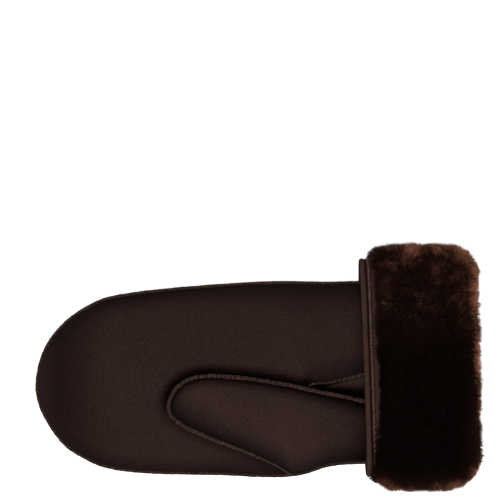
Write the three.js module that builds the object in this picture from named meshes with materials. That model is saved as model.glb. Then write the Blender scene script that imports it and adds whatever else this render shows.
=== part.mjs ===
// A left-hand shearling mitten lying on its back, palm up, with its fleece cuff turned back.
// Sizes are millimetres. +X runs from the fingertip to the mouth, +Y to the little finger, +Z up.
// Every leather piece is one sheet of hide with its short wool on, so its wall is skin and wool.
import * as THREE from "three";

// Driving sizes of the hand
const handLength = 212.5; // fingertip to the edge of the turned cuff
const handWidth = 125.5; // seam to seam across the palm
const handDrift = 6.8; // the hand's axis lies this far from the cuff's, to the thumb side
const palmCrown = 21; // rise of the palm above the side seam
const backDrop = 17.5; // fall of the back below the side seam, before the table flattens it
const seamHeight = 14.5; // the side seam above the table, at the palm
const wristRise = 10; // how much higher the seam lies where the cuff lifts the wrist
const hideWall = 5; // skin and clipped wool of the hand's panels
const sideWall = 4; // the same, measured sideways at the seams

// Driving sizes of the thumb
const thumbLength = 126.8; // tip to the edge of the turned cuff
const thumbCrown = 15; // rise of the thumb above its seam
const thumbWall = 4;
const thumbSideWall = 3.4;
const thumbEdge = 1.5; // thickness of the under panel where it is sewn
const thumbTuck = 5; // how far the under panel runs below the upper one at the wrist
const pleatDepth = 4.5; // the fold beside the thumb at the wrist

// Driving sizes of the seams, whose raw edges stand out of the joints
const weltThickness = 2;
const sideWeltOut = 1.8;
const thumbWeltThickness = 2.4;
const thumbWeltOut = 2.6;
const backWeltOut = 1.9;
const gussetWeltOut = 1.6;
const backWeltLift = 2.3; // the back is held off the table along its middle seam
const backWeltSpan = 16; // and comes down to it over this width each side
const clearance = 0.3;

// Driving sizes of the cuff
const cuffLength = 78;
const cuffSkin = 1.6; // the turned-back skin, without its wool
const cuffSideGap = 11.8; // the turned cuff stands off the wrist, by this much beside it
const cuffTopGap = 5;
const cuffBottomGap = 2.6;
const pile = 10.8; // length of the cuff's wool
const pileUnder = 0.72; // share of it left where the cuff rests on the table
const liningPile = 3.1; // clipped wool just inside the mouth
const lockHeight = 1.7;
const cuffSlant = 0.035; // the turned edge runs this much aslant, per millimetre of width
const pipingDiameter = 3.8;
const facingWidth = 7.4;
const facingThickness = 1.2;
const overhangLittle = 4; // the wool spreads over the facing on the little finger's side
const overhangThumb = 9.5; // and this far on the thumb's side
const panelEnd = 17; // the hand's panels run this far into the cuff

// Resolution of the facets
const handSteps = 22;
const crotchSteps = 8;
const wristSteps = 4;
const acrossSteps = 12;
const backSteps = 7;
const thumbSteps = 10;
const thumbRootSteps = 7;
const thumbAcross = 10;
const roundSteps = 40;

// Colours and finishes
const leather = { color: 0x2f2321, roughness: 0.55, metalness: 0 };
const seamEdge = { color: 0x4a3530, roughness: 0.9, metalness: 0 };
const wool = { color: 0x2c1710, roughness: 0.95, metalness: 0 };

const jointHalf = weltThickness / 2 + clearance;
const thumbJoint = thumbWeltThickness + 2 * clearance;
const leatherWidth = handWidth - 2 * sideWeltOut;
const leatherLength = handLength - sideWeltOut;
const archPower = 2.6;
const handArch = 0.72;
const wristArch = 1 / archPower;

// The hand's outline. fromTip is a share of the hand's length, the two sides of its width from the axis.
const handOutline = [
  { fromTip: 0, outer: -0.054, thumb: 0.054 },
  { fromTip: 0.026, outer: 0.153, thumb: 0.205 },
  { fromTip: 0.087, outer: 0.293, thumb: 0.35 },
  { fromTip: 0.149, outer: 0.365, thumb: 0.417 },
  { fromTip: 0.21, outer: 0.412, thumb: 0.459 },
  { fromTip: 0.332, outer: 0.453, thumb: 0.487 },
  { fromTip: 0.577, outer: 0.49, thumb: 0.5 },
  { fromTip: 0.718, outer: 0.5, thumb: 0.51 },
  { fromTip: 0.81, outer: 0.5, thumb: 0.498 },
  { fromTip: 0.902, outer: 0.5, thumb: 0.459 },
  { fromTip: 1, outer: 0.502, thumb: 0.438 },
  { fromTip: 1.12, outer: 0.502, thumb: 0.435 },
];

// The hand's thickness. crown and drop are shares of their sizes, seam of the seam's height, rise of the wrist's.
const handDepth = [
  { fromTip: 0, crown: 0, drop: 0, seam: 0.84, rise: 0 },
  { fromTip: 0.026, crown: 0.36, drop: 0.42, seam: 0.84, rise: 0 },
  { fromTip: 0.087, crown: 0.62, drop: 0.72, seam: 0.86, rise: 0 },
  { fromTip: 0.149, crown: 0.76, drop: 0.86, seam: 0.92, rise: 0 },
  { fromTip: 0.332, crown: 0.94, drop: 1, seam: 1, rise: 0 },
  { fromTip: 0.577, crown: 1, drop: 1, seam: 1, rise: 0 },
  { fromTip: 0.75, crown: 1, drop: 1, seam: 1, rise: 0.04 },
  { fromTip: 0.85, crown: 0.93, drop: 0.94, seam: 1, rise: 0.3 },
  { fromTip: 0.93, crown: 0.82, drop: 0.84, seam: 1, rise: 0.78 },
  { fromTip: 1, crown: 0.74, drop: 0.74, seam: 1, rise: 1 },
  { fromTip: 1.12, crown: 0.74, drop: 0.74, seam: 1, rise: 1 },
];

// The thumb's outline. fromTip is a share of the thumb's length, its two edges of the hand's width from the
// hand's axis, crown of the thumb's rise. Past the crotch the lower edge is the hand's own side seam.
const thumbOutline = [
  { fromTip: 0, upper: -0.153, lower: -0.153, crown: 0 },
  { fromTip: 0.015, upper: -0.096, lower: -0.207, crown: 0.36 },
  { fromTip: 0.041, upper: -0.049, lower: -0.23, crown: 0.56 },
  { fromTip: 0.082, upper: -0.013, lower: -0.257, crown: 0.72 },
  { fromTip: 0.19, upper: 0.014, lower: -0.306, crown: 0.92 },
  { fromTip: 0.374, upper: 0.004, lower: -0.378, crown: 1 },
  { fromTip: 0.487, upper: -0.01, lower: -0.427, crown: 1.02 },
  { fromTip: 0.554, upper: -0.021, lower: -0.462, crown: 1 },
  { fromTip: 0.626, upper: -0.033, lower: -0.512, crown: 0.94 },
  { fromTip: 0.738, upper: -0.06, lower: -0.58, crown: 0.76 },
  { fromTip: 0.913, upper: -0.097, lower: -0.6, crown: 0.34 },
  { fromTip: 1.01, upper: -0.12, lower: -0.6, crown: 0.16 },
  { fromTip: 1.14, upper: -0.143, lower: -0.6, crown: 0.1 },
];

// Where the palm panel is cut away for the thumb. fromTip is a share of the hand's length, cut of its width.
const crotchCut = [
  { fromTip: 0.784, cut: -0.53 },
  { fromTip: 0.788, cut: -0.46 },
  { fromTip: 0.794, cut: -0.35 },
  { fromTip: 0.802, cut: -0.23 },
  { fromTip: 0.813, cut: -0.13 },
  { fromTip: 0.833, cut: -0.056 },
  { fromTip: 0.9, cut: -0.012 },
  { fromTip: 1, cut: 0.022 },
  { fromTip: 1.12, cut: 0.05 },
];

const lerp = THREE.MathUtils.lerp;
const smooth = THREE.MathUtils.smoothstep;

// A smooth curve through one column of a table, read against the square root of fromTip, which keeps a tip round.
function along(table, column, fromTip) {
  const place = (row) => Math.sqrt(row.fromTip);
  const at = THREE.MathUtils.clamp(Math.sqrt(Math.max(fromTip, 0)), place(table[0]), place(table.at(-1)));
  let i = 0;
  while (i < table.length - 2 && at > place(table[i + 1])) i++;
  const slope = (k) => {
    const a = table[Math.max(k - 1, 0)];
    const b = table[Math.min(k + 1, table.length - 1)];
    return (b[column] - a[column]) / (place(b) - place(a));
  };
  const span = place(table[i + 1]) - place(table[i]);
  const s = (at - place(table[i])) / span;
  const bend = (1 - s) * slope(i) * (1 - s) * s + (s - 1) * slope(i + 1) * s * s;
  const ease = s * s * (3 - 2 * s);
  return lerp(table[i][column], table[i + 1][column], ease) + bend * span;
}

const arch = (t, power) => Math.pow(Math.max(0, 1 - Math.pow(Math.abs(t), archPower)), power);
const steps = (n, from = 0, to = 1) => Array.from({ length: n + 1 }, (_, i) => lerp(from, to, i / n));

// The hand's section at a share of its length: its middle, half width, seam height, crown, drop and arch.
function handSection(fromTip) {
  const outer = -handDrift + along(handOutline, "outer", fromTip) * leatherWidth;
  const thumb = -handDrift - along(handOutline, "thumb", fromTip) * leatherWidth;
  const wrist = smooth(fromTip, 0.8, 1);
  return {
    x: sideWeltOut + fromTip * leatherLength,
    middle: (outer + thumb) / 2,
    half: Math.max((outer - thumb) / 2, 0),
    seam: along(handDepth, "seam", fromTip) * seamHeight + along(handDepth, "rise", fromTip) * wristRise,
    crown: Math.max(along(handDepth, "crown", fromTip), 0) * palmCrown,
    drop: Math.max(along(handDepth, "drop", fromTip), 0) * backDrop,
    arch: lerp(handArch, wristArch, wrist),
  };
}

const endShare = (handLength + panelEnd - sideWeltOut) / leatherLength;
const endX = handLength + panelEnd;
const lengthScale = 1 - sideWall / (endX - sideWeltOut);
const widthScale = 1 - (2 * sideWall) / leatherWidth;
const insideX = (x) => endX - (endX - x) * lengthScale;

// Height of the palm's leather over a point of the plan
function palmHeight(fromTip, y) {
  const s = handSection(fromTip);
  return s.seam + jointHalf + s.crown * arch(Math.min(Math.abs(y - s.middle) / Math.max(s.half, 1), 1), s.arch);
}

// A solid swept through closed sections. Each section lists one face forward and the other backward, so that
// an end is capped by strips between the two. Points that fall together at a tip leave no face.
function sweep(sections, looped = false) {
  const count = sections[0].length;
  const vertices = sections.flat();
  const keys = new Map();
  const ids = vertices.map((p) => {
    const key = p.map((v) => v.toFixed(3)).join();
    if (!keys.has(key)) keys.set(key, keys.size);
    return keys.get(key);
  });
  const merged = [];
  vertices.forEach((p, i) => (merged[ids[i]] = p));
  const index = [];
  const triangle = (a, b, c) => {
    const [i, j, k] = [ids[a], ids[b], ids[c]];
    if (i !== j && j !== k && k !== i) index.push(i, j, k);
  };
  const quad = (a, b, c, d) => {
    triangle(a, b, c);
    triangle(a, c, d);
  };
  const rows = sections.length;
  for (let i = 0; i < (looped ? rows : rows - 1); i++) {
    const next = (i + 1) % rows;
    for (let j = 0; j < count; j++) {
      const k = (j + 1) % count;
      quad(i * count + j, i * count + k, next * count + k, next * count + j);
    }
  }
  if (!looped) {
    const last = (rows - 1) * count;
    for (let j = 0; j < count / 2 - 1; j++) {
      const k = count - 1 - j;
      quad(j, k, k - 1, j + 1);
      quad(last + j + 1, last + k - 1, last + k, last + j);
    }
  }
  const at = (i) => new THREE.Vector3(...merged[i]);
  let volume = 0;
  for (let i = 0; i < index.length; i += 3) {
    volume += at(index[i]).dot(at(index[i + 1]).cross(at(index[i + 2])));
  }
  if (volume < 0) index.reverse();
  const geometry = new THREE.BufferGeometry();
  geometry.setAttribute("position", new THREE.Float32BufferAttribute(merged.flat(), 3));
  geometry.setIndex(index);
  geometry.computeVertexNormals();
  return geometry;
}

const mitten = new THREE.Group();

function addPiece(name, geometry, finish) {
  const piece = new THREE.Mesh(geometry, new THREE.MeshStandardMaterial(finish));
  piece.name = name;
  mitten.add(piece);
}

// Shares of the hand's length at which its panels are sectioned, closer at the tip and round the crotch
function handShares() {
  const crotchStart = crotchCut[0].fromTip;
  const crotchEnd = 0.85;
  return [
    ...steps(handSteps).map((q) => q * q * crotchStart),
    ...steps(crotchSteps, crotchStart, crotchEnd).slice(1),
    ...steps(wristSteps, crotchEnd, endShare).slice(1),
  ];
}

function palmPanel() {
  const sections = handShares().map((fromTip) => {
    const s = handSection(fromTip);
    const cut = -handDrift + along(crotchCut, "cut", fromTip) * leatherWidth + jointHalf;
    const low = fromTip <= crotchCut[0].fromTip ? -1 : Math.max(-1, (cut - s.middle) / s.half);
    const bends = steps(acrossSteps, -1, 1).map((w) => lerp(low, 1, (Math.sin((w * Math.PI) / 2) + 1) / 2));
    const skin = bends.map((t) => [s.x, s.middle + t * s.half, s.seam + jointHalf + s.crown * arch(t, s.arch)]);
    const inside = bends.map((t) => [
      insideX(s.x),
      s.middle + t * s.half * widthScale,
      s.seam + jointHalf + s.crown * (1 - hideWall / palmCrown) * arch(t, s.arch),
    ]);
    return [...skin, ...inside.reverse()];
  });
  return sweep(sections);
}

// One half of the back. It lies flat on the table and lifts a little beside its middle seam.
function backPanel(side) {
  const sections = handShares().map((fromTip) => {
    const s = handSection(fromTip);
    const foot = s.seam - jointHalf;
    const lift = (y) => backWeltLift * (1 - smooth(Math.abs(y - s.middle), 0, backWeltSpan));
    const insideDrop = Math.max(Math.min(s.drop, foot) - hideWall, 0);
    const bends = steps(backSteps).map((w) => Math.sin((w * Math.PI) / 2));
    const across = (t, half) => s.middle + side * (jointHalf + t * Math.max(half - jointHalf, 0));
    const skin = bends.map((t) => {
      const y = across(t, s.half);
      const fall = s.drop * arch(t, s.arch);
      return [s.x, y, Math.max(foot - fall, 0) + Math.min(lift(y), fall, foot)];
    });
    const inside = bends.map((t) => {
      const y = across(t, s.half * widthScale);
      const fall = insideDrop * arch(t, s.arch);
      return [insideX(s.x), y, foot - fall + Math.min((lift(y) * insideDrop) / backDrop, fall)];
    });
    return [...skin, ...inside.reverse()];
  });
  return sweep(sections);
}

// Points round the hand's outline, from the wrist on the little finger's side round the tip to the thumb's side
function outlinePath() {
  const shares = handShares();
  const walk = (side, order) =>
    order.map((fromTip) => {
      const s = handSection(fromTip);
      return {
        edge: new THREE.Vector3(s.x, s.middle + side * s.half, s.seam),
        inside: new THREE.Vector3(insideX(s.x), s.middle + side * s.half * widthScale, s.seam),
      };
    });
  return [...walk(1, [...shares].reverse()), ...walk(-1, shares.slice(1))];
}

// Moves each point of a path sideways in plan, to the left of its direction, by a distance.
function offsetPlan(points, distance) {
  return points.map((p, i) => {
    const ahead = points[Math.min(i + 1, points.length - 1)];
    const behind = points[Math.max(i - 1, 0)];
    const run = new THREE.Vector2(ahead.x - behind.x, ahead.y - behind.y).normalize();
    return new THREE.Vector3(p.x - run.y * distance(i), p.y + run.x * distance(i), p.z);
  });
}

// A welt lies flat in its joint, from the inner edge of the wall to a proud rounded rim.
function flatWelt(edges, insides, out, thickness) {
  const within = (points) => points.map((p) => p.setX(Math.min(p.x, endX)));
  const rim = within(offsetPlan(edges, (i) => -out(edges[i])));
  const shoulder = within(offsetPlan(edges, (i) => -out(edges[i]) * 0.7));
  const half = thickness / 2;
  return sweep(
    edges.map((_, i) => [
      [insides[i].x, insides[i].y, insides[i].z - half],
      [shoulder[i].x, shoulder[i].y, shoulder[i].z - half],
      [rim[i].x, rim[i].y, rim[i].z - half * 0.4],
      [rim[i].x, rim[i].y, rim[i].z + half * 0.4],
      [shoulder[i].x, shoulder[i].y, shoulder[i].z + half],
      [insides[i].x, insides[i].y, insides[i].z + half],
    ]),
  );
}

function sideWelt() {
  const path = outlinePath();
  return flatWelt(path.map((p) => p.edge), path.map((p) => p.inside), () => sideWeltOut, weltThickness);
}

// A welt that stands up in its joint, as wide as the joint less its clearances
function standingWelt(rows, thickness) {
  return sweep(
    rows.map(({ x, lowX = x, highX = x, y, low, high }) => [
      [lowX, y - thickness / 2, low],
      [lowX, y + thickness / 2, low],
      [highX, y + thickness / 2, high],
      [highX, y - thickness / 2, high],
    ]),
  );
}

function backWelt() {
  const rows = handShares().slice(3).map((fromTip) => {
    const s = handSection(fromTip);
    const foot = s.seam - jointHalf;
    const skin = Math.max(foot - s.drop, 0) + Math.min(backWeltLift, s.drop, foot);
    const high = Math.min(skin + hideWall, foot - clearance);
    return { x: s.x, highX: insideX(s.x), y: s.middle, low: skin - backWeltOut, high };
  });
  return standingWelt(rows, weltThickness);
}

const thumbTip = handLength - thumbLength;
const handShare = (x) => (x - sideWeltOut) / leatherLength;
const handX = (share) => sideWeltOut + share * leatherLength;
const crotchX = handX(crotchCut[0].fromTip);
const mergeX = handX(0.848); // here the under panel leaves the palm's surface for the pleat beside it
const pleatX = handX(0.9);
const seatGap = clearance + 0.3; // the under panel lies this far clear of the palm
const seatRise = seatGap + thumbEdge;
const cutAt = (share) => -handDrift + along(crotchCut, "cut", share) * leatherWidth;

// The thumb's section: its leather edges in plan, its crown, and how far its seam stands above the palm.
function thumbSection(fromTip) {
  const x = thumbTip + thumbWeltOut + fromTip * (thumbLength - thumbWeltOut);
  const share = handShare(x);
  const hand = handSection(share);
  const side = hand.middle - hand.half;
  const rim = thumbWeltOut * smooth(fromTip, 0, 0.06);
  const upper = -handDrift + along(thumbOutline, "upper", fromTip) * handWidth - rim;
  const lower = Math.max(-handDrift + along(thumbOutline, "lower", fromTip) * handWidth + rim, side);
  const slipped = smooth(x, crotchX - 36, crotchX - 18);
  const settled = smooth(x, crotchX - 18, crotchX - 3);
  const onSide = smooth(x, crotchX, crotchX + 4);
  const pleat = smooth(x, mergeX, pleatX);
  const seatUpper = lerp(seatRise, -pleatDepth, pleat);
  return {
    x,
    share,
    upper,
    lower,
    slipped,
    settled,
    pleat,
    seatUpper,
    edgeUpper: seatUpper + thumbJoint,
    edgeLower: lerp(lerp(seatRise + thumbJoint, seatGap + 0.5, settled), 0, onSide),
    crown: Math.max(along(thumbOutline, "crown", fromTip), 0) * thumbCrown,
  };
}

// Shares of the thumb's length at which it is sectioned: closer at the tip and from the crotch to the pleat
function thumbShares() {
  const [root, pleat, end] = [crotchX - 20, pleatX + 2, endX].map(
    (x) => (x - thumbTip - thumbWeltOut) / (thumbLength - thumbWeltOut),
  );
  return [
    ...steps(thumbSteps).map((q) => q * q * root),
    ...steps(thumbRootSteps, root, pleat).slice(1),
    ...steps(wristSteps, pleat, end).slice(1),
  ];
}

// The upper panel of the thumb, from its upper seam over the top to its lower seam or the hand's side seam
function thumbUpperPanel() {
  const sections = thumbShares().map((fromTip) => {
    const s = thumbSection(fromTip);
    const bends = steps(thumbAcross, -1, 1).map((w) => Math.sin((w * Math.PI) / 2));
    const middle = (s.upper + s.lower) / 2;
    const half = (s.upper - s.lower) / 2;
    const narrow = Math.max(half - thumbSideWall, half * 0.3);
    const edge = (t) => lerp(s.edgeLower, s.edgeUpper, (t + 1) / 2);
    const under = Math.max(s.crown - thumbWall, lerp(0, s.crown - thumbWall, smooth(s.x, crotchX, mergeX)));
    const deeper = thumbSideWall * (1 - smooth(fromTip, 0, 0.4));
    const skin = bends.map((t) => {
      const y = middle + t * half;
      return [s.x, y, palmHeight(s.share, y) + edge(t) + s.crown * arch(t, handArch)];
    });
    const inside = bends.map((t) => {
      const y = middle + t * narrow;
      return [s.x + deeper, y, palmHeight(s.share, y) + edge(t) + under * arch(t, handArch)];
    });
    return [...skin, ...inside.reverse()];
  });
  return sweep(sections);
}

// The under panel of the thumb. It lies on the palm to the crotch, then turns down beside the palm's cut edge
// and forms the pleat at the wrist, with its far edge tucked below the upper panel.
function thumbUnderPanel() {
  const sections = thumbShares().map((fromTip) => {
    const s = thumbSection(fromTip);
    const tucked = s.upper - Math.min(thumbTuck, (s.upper - s.lower) / 2);
    const opened = smooth(s.x, crotchX - 26, crotchX + 8);
    const low = lerp(Math.min(s.lower + thumbSideWall * 1.6 * s.slipped, tucked), tucked, opened);
    const cut = s.x < crotchX ? s.lower : cutAt(s.share);
    const high = Math.max(s.upper, cut - jointHalf - clearance * 2);
    const beside = Math.min(s.upper + thumbWeltOut + clearance, high);
    const across = [0, 0.12, 0.35, 0.65, 0.88, 1].map((w) => lerp(low, high, w));
    const folded = [tucked, s.upper - 2, s.upper, beside, (beside + high) / 2, high];
    const faces = across.map((lying, i) => {
      const y = lerp(lying, folded[i], smooth(s.x, mergeX - 12, mergeX - 3));
      const palm = palmHeight(s.share, y);
      const inFromSeam = Math.min(y - low, Math.abs(s.upper - y));
      const rise = seatGap + lerp(thumbEdge, thumbWall, smooth(inFromSeam, thumbSideWall, thumbSideWall * 3));
      const dip = pleatDepth * (1 - smooth(y, s.upper + thumbWeltOut + clearance, Math.max(high, beside + 1)));
      return {
        y,
        top: palm + lerp(rise, -dip, s.pleat),
        bottom: palm + lerp(seatGap, -dip - thumbWall, s.pleat),
      };
    });
    const top = faces.map((f) => [s.x, f.y, f.top]);
    const bottom = faces.map((f) => [s.x, f.y, f.bottom]);
    return [...top, ...bottom.reverse()];
  });
  return sweep(sections);
}

// A point of the thumb's edge and the welt's inner edge beside it, both at a height above the palm's leather
function weltPoint(s, y, inward, height) {
  const tipward = thumbEdge * (1 - smooth(s.x, thumbTip, thumbTip + 8));
  return {
    edge: new THREE.Vector3(s.x, y, palmHeight(s.share, y) + height),
    inside: new THREE.Vector3(s.x + tipward, y - inward, palmHeight(s.share, y - inward) + height),
  };
}

// The thumb's welt runs from the wrist along the upper seam, round the tip and back to the crotch.
function thumbWelt() {
  const half = thumbWeltThickness / 2;
  const upper = thumbShares().reverse().map((fromTip) => {
    const s = thumbSection(fromTip);
    return weltPoint(s, s.upper, thumbEdge * smooth(fromTip, 0, 0.02), s.seatUpper + clearance + half);
  });
  const sections = thumbShares().slice(1).map(thumbSection);
  const lower = sections.filter((s) => s.x < crotchX + 1).map((s) => {
    const seat = clearance + lerp(seatRise, 0, s.settled);
    return weltPoint(s, s.lower, -lerp(thumbEdge, -clearance, s.slipped), seat + half);
  });
  const path = [...upper, ...lower];
  const ending = (p) => (p.y < -50 ? smooth(p.x, crotchX - 10, crotchX + 2) : 0);
  const out = (p) => thumbWeltOut * (1 - 0.55 * ending(p));
  return flatWelt(path.map((p) => p.edge), path.map((p) => p.inside), out, thumbWeltThickness);
}

// The short seam between the palm and the thumb's under panel, from the pleat to the wrist
function gussetWelt() {
  const rows = handShares().filter((share) => share > 0.836).map((share) => {
    const y = cutAt(share);
    const skin = palmHeight(share, y);
    const x = handX(share);
    return { x, lowX: insideX(x), y, low: skin - thumbWall, high: skin + gussetWeltOut };
  });
  return standingWelt(rows, weltThickness);
}

// The cuff's sections. run is a share of the cuff's length from its turned edge, gap of its stand-off from the
// wrist, pile of the wool's length outwards, lining of the hide's wall inwards, lock of a lock's height.
const fleeceOutside = [
  { run: 0.16, gap: 1, pile: 0.03, lining: 0, spread: 0, lock: 0 },
  { run: 0.155, gap: 1, pile: 0.17, lining: 0, spread: 0, lock: 0 },
  { run: 0.15, gap: 1, pile: 0.19, lining: 0, spread: 0.9, lock: 0 },
  { run: 0.15, gap: 1, pile: 0.36, lining: 0, spread: 1, lock: 0.5 },
  { run: 0.16, gap: 1, pile: 0.62, lining: 0, spread: 0.9, lock: 1 },
  { run: 0.2, gap: 1, pile: 0.84, lining: 0, spread: 0.7, lock: 1 },
  { run: 0.26, gap: 1, pile: 0.97, lining: 0, spread: 0.4, lock: 1 },
  { run: 0.34, gap: 1, pile: 1, lining: 0, spread: 0, lock: 1 },
  { run: 0.42, gap: 1, pile: 1, lining: 0, spread: 0, lock: 1 },
  { run: 0.5, gap: 1, pile: 1, lining: 0, spread: 0, lock: 1 },
  { run: 0.58, gap: 1, pile: 1, lining: 0, spread: 0, lock: 1 },
  { run: 0.66, gap: 1, pile: 1, lining: 0, spread: 0, lock: 1 },
  { run: 0.74, gap: 1, pile: 0.99, lining: 0, spread: 0, lock: 1 },
  { run: 0.82, gap: 1, pile: 0.9, lining: 0, spread: 0, lock: 1 },
  { run: 0.89, gap: 0.95, pile: 0.68, lining: 0, spread: 0, lock: 1 },
  { run: 0.95, gap: 0.82, pile: 0.35, lining: 0, spread: 0, lock: 1 },
  { run: 0.985, gap: 0.62, pile: 0.04, lining: 0, spread: 0, lock: 1 },
  { run: 1, gap: 0.4, pile: 0, lining: 0.1, spread: 0, lock: 0.8 },
  { run: 0.985, gap: 0.2, pile: 0, lining: 0.45, spread: 0, lock: 0.5 },
  { run: 0.95, gap: 0.04, pile: 0, lining: 0.85, spread: 0, lock: 0 },
  { run: 0.89, gap: 0, pile: 0, lining: 1, spread: 0, lock: 0 },
];
const skinFold = [
  { run: 0.8, gap: 0, off: 0 },
  { run: 0.855, gap: 0.08, off: 0.1 },
  { run: 0.885, gap: 0.28, off: 0.3 },
  { run: 0.895, gap: 0.5, off: 0.5 },
  { run: 0.885, gap: 0.72, off: 0.7 },
  { run: 0.855, gap: 0.92, off: 0.9 },
  { run: 0.8, gap: 1, off: 1 },
];

const wrist = handSection(1);

// A point of the cuff: run along it, angle round it, gap and off outwards. Under it, off shrinks as wool does.
function cuffPoint(run, angle, gap, off, spread = 0) {
  const power = 2 / lerp(archPower, Math.sin(angle) > 0 ? 2.7 : 3.1, gap);
  const sideways = Math.sign(Math.cos(angle)) * Math.pow(Math.abs(Math.cos(angle)), power);
  const upright = Math.sign(Math.sin(angle)) * Math.pow(Math.abs(Math.sin(angle)), power);
  const y = lerp(wrist.middle, 0, gap) + sideways * (wrist.half + gap * cuffSideGap + off);
  const above = wrist.crown + gap * cuffTopGap + off;
  const below = wrist.drop + gap * cuffBottomGap + off * (off > 0 ? pileUnder : 1);
  const z = wrist.seam + upright * (jointHalf + (upright > 0 ? above : below));
  const overhang = (sideways > 0 ? overhangLittle : overhangThumb) * Math.pow(Math.abs(sideways), 3);
  const x = handLength + run * cuffLength - overhang * spread;
  const slant = Math.max(gap, (x - endX) / (cuffLength - panelEnd));
  return [x - cuffSlant * y * slant, y, Math.max(z, 0)];
}

function cuffRing(outline) {
  const sections = Array.from({ length: roundSteps }, (_, i) => outline((i / roundSteps) * 2 * Math.PI, i));
  return sweep(sections, true);
}

const liningStart = (panelEnd + clearance) / cuffLength;

// The wool: over the turned-back skin, round the fold and a little way into the mouth
function cuffFleece() {
  return cuffRing((angle, i) => {
    const outside = fleeceOutside.map((p, j) => {
      const lock = (i + j) % 2 ? 0 : lockHeight * p.lock;
      return cuffPoint(p.run, angle, p.gap, p.pile * pile - p.lining * hideWall + lock, p.spread);
    });
    const mouth = cuffPoint(liningStart, angle, 0, -hideWall);
    const foldGap = skinFold.map((p) => {
      const off = lerp(-cuffSkin - clearance, clearance, p.off);
      return cuffPoint(p.run + clearance / cuffLength, angle, p.gap, off);
    });
    const back = cuffPoint(liningStart, angle, 0, -cuffSkin - clearance);
    return [...outside, mouth, back, ...foldGap];
  });
}

// The skin of the cuff: it meets the hand's panels inside, folds at the mouth and turns back
function cuffTurnback() {
  return cuffRing((angle) => {
    const face = skinFold.map((p) => cuffPoint(p.run, angle, p.gap, lerp(-cuffSkin, 0, p.off)));
    const inner = cuffPoint(liningStart, angle, 0, -cuffSkin);
    const edge = [0, -cuffSkin].map((off) => cuffPoint((pipingDiameter + clearance) / cuffLength, angle, 1, off));
    const lee = skinFold.map((p) => cuffPoint(p.run - cuffSkin / cuffLength, angle, p.gap, lerp(0, -cuffSkin, p.off)));
    return [inner, ...face, ...edge, ...lee.reverse(), cuffPoint(liningStart, angle, 0, 0)];
  });
}

function cuffPiping() {
  const radius = pipingDiameter / 2;
  return cuffRing((angle) =>
    steps(6).slice(1).map((turn) => {
      const a = turn * 2 * Math.PI;
      const run = (radius + radius * Math.cos(a)) / cuffLength;
      return cuffPoint(run, angle, 1, radius * Math.sin(a) - cuffSkin / 2 + clearance);
    }),
  );
}

function cuffFacing() {
  const start = (pipingDiameter + clearance) / cuffLength;
  return cuffRing((angle) => [
    cuffPoint(start, angle, 1, clearance),
    cuffPoint(start, angle, 1, clearance + facingThickness * 0.6),
    cuffPoint(start + facingWidth * 0.3 / cuffLength, angle, 1, clearance + facingThickness * 0.7),
    cuffPoint(start + facingWidth * 0.5 / cuffLength, angle, 1, clearance + facingThickness),
    cuffPoint(start + facingWidth / cuffLength, angle, 1, clearance + facingThickness),
    cuffPoint(start + facingWidth / cuffLength, angle, 1, clearance),
  ]);
}

addPiece("palm_panel", palmPanel(), leather);
addPiece("back_panel_little_finger_side", backPanel(1), leather);
addPiece("back_panel_thumb_side", backPanel(-1), leather);
addPiece("side_seam_welt", sideWelt(), seamEdge);
addPiece("back_seam_welt", backWelt(), seamEdge);
addPiece("thumb_upper_panel", thumbUpperPanel(), leather);
addPiece("thumb_under_panel", thumbUnderPanel(), leather);
addPiece("thumb_seam_welt", thumbWelt(), seamEdge);
addPiece("gusset_seam_welt", gussetWelt(), seamEdge);
addPiece("cuff_turnback", cuffTurnback(), leather);
addPiece("cuff_fleece", cuffFleece(), wool);
addPiece("cuff_piping", cuffPiping(), leather);
addPiece("cuff_facing", cuffFacing(), leather);

// The origin is the middle of the bounding box, on the table
const bounds = new THREE.Box3().setFromObject(mitten);
const centre = bounds.getCenter(new THREE.Vector3());
mitten.position.set(-centre.x, -centre.y, -bounds.min.z);

export default mitten;
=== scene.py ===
"""A left-hand shearling mitten on its back, palm up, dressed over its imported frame.

The leather panels, seam edges, stitches, cuff and wool are numpy surfaces. Lengths in the shape
functions are millimetres from the fingertip: +X to the mouth, +Y to the little finger, +Z up. build()
turns them to metres.
"""

import bmesh
import bpy
import numpy as np
from bpy.props import FloatProperty, FloatVectorProperty, IntProperty, PointerProperty
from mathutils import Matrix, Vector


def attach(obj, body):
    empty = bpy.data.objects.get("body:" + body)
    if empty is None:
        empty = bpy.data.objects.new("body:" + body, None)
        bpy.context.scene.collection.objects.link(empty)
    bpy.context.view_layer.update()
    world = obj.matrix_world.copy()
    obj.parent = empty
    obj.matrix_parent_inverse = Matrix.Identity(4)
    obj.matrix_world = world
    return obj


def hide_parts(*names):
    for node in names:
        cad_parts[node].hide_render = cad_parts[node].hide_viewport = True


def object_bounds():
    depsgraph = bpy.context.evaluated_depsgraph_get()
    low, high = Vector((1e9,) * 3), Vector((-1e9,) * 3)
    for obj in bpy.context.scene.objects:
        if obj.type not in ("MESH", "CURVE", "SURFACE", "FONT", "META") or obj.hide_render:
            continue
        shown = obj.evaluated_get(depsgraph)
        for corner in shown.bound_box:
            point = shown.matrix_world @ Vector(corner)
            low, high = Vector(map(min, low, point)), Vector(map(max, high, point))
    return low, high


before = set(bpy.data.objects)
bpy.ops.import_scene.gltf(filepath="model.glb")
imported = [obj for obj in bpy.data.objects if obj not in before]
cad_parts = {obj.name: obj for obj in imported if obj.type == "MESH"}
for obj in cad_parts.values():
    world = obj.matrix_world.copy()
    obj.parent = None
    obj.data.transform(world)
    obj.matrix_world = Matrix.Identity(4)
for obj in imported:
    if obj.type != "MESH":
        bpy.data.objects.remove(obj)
CAD_BOUNDS = [list(corner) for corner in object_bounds()]
ORIGIN_X = CAD_BOUNDS[0][0] * 1000.0

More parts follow.
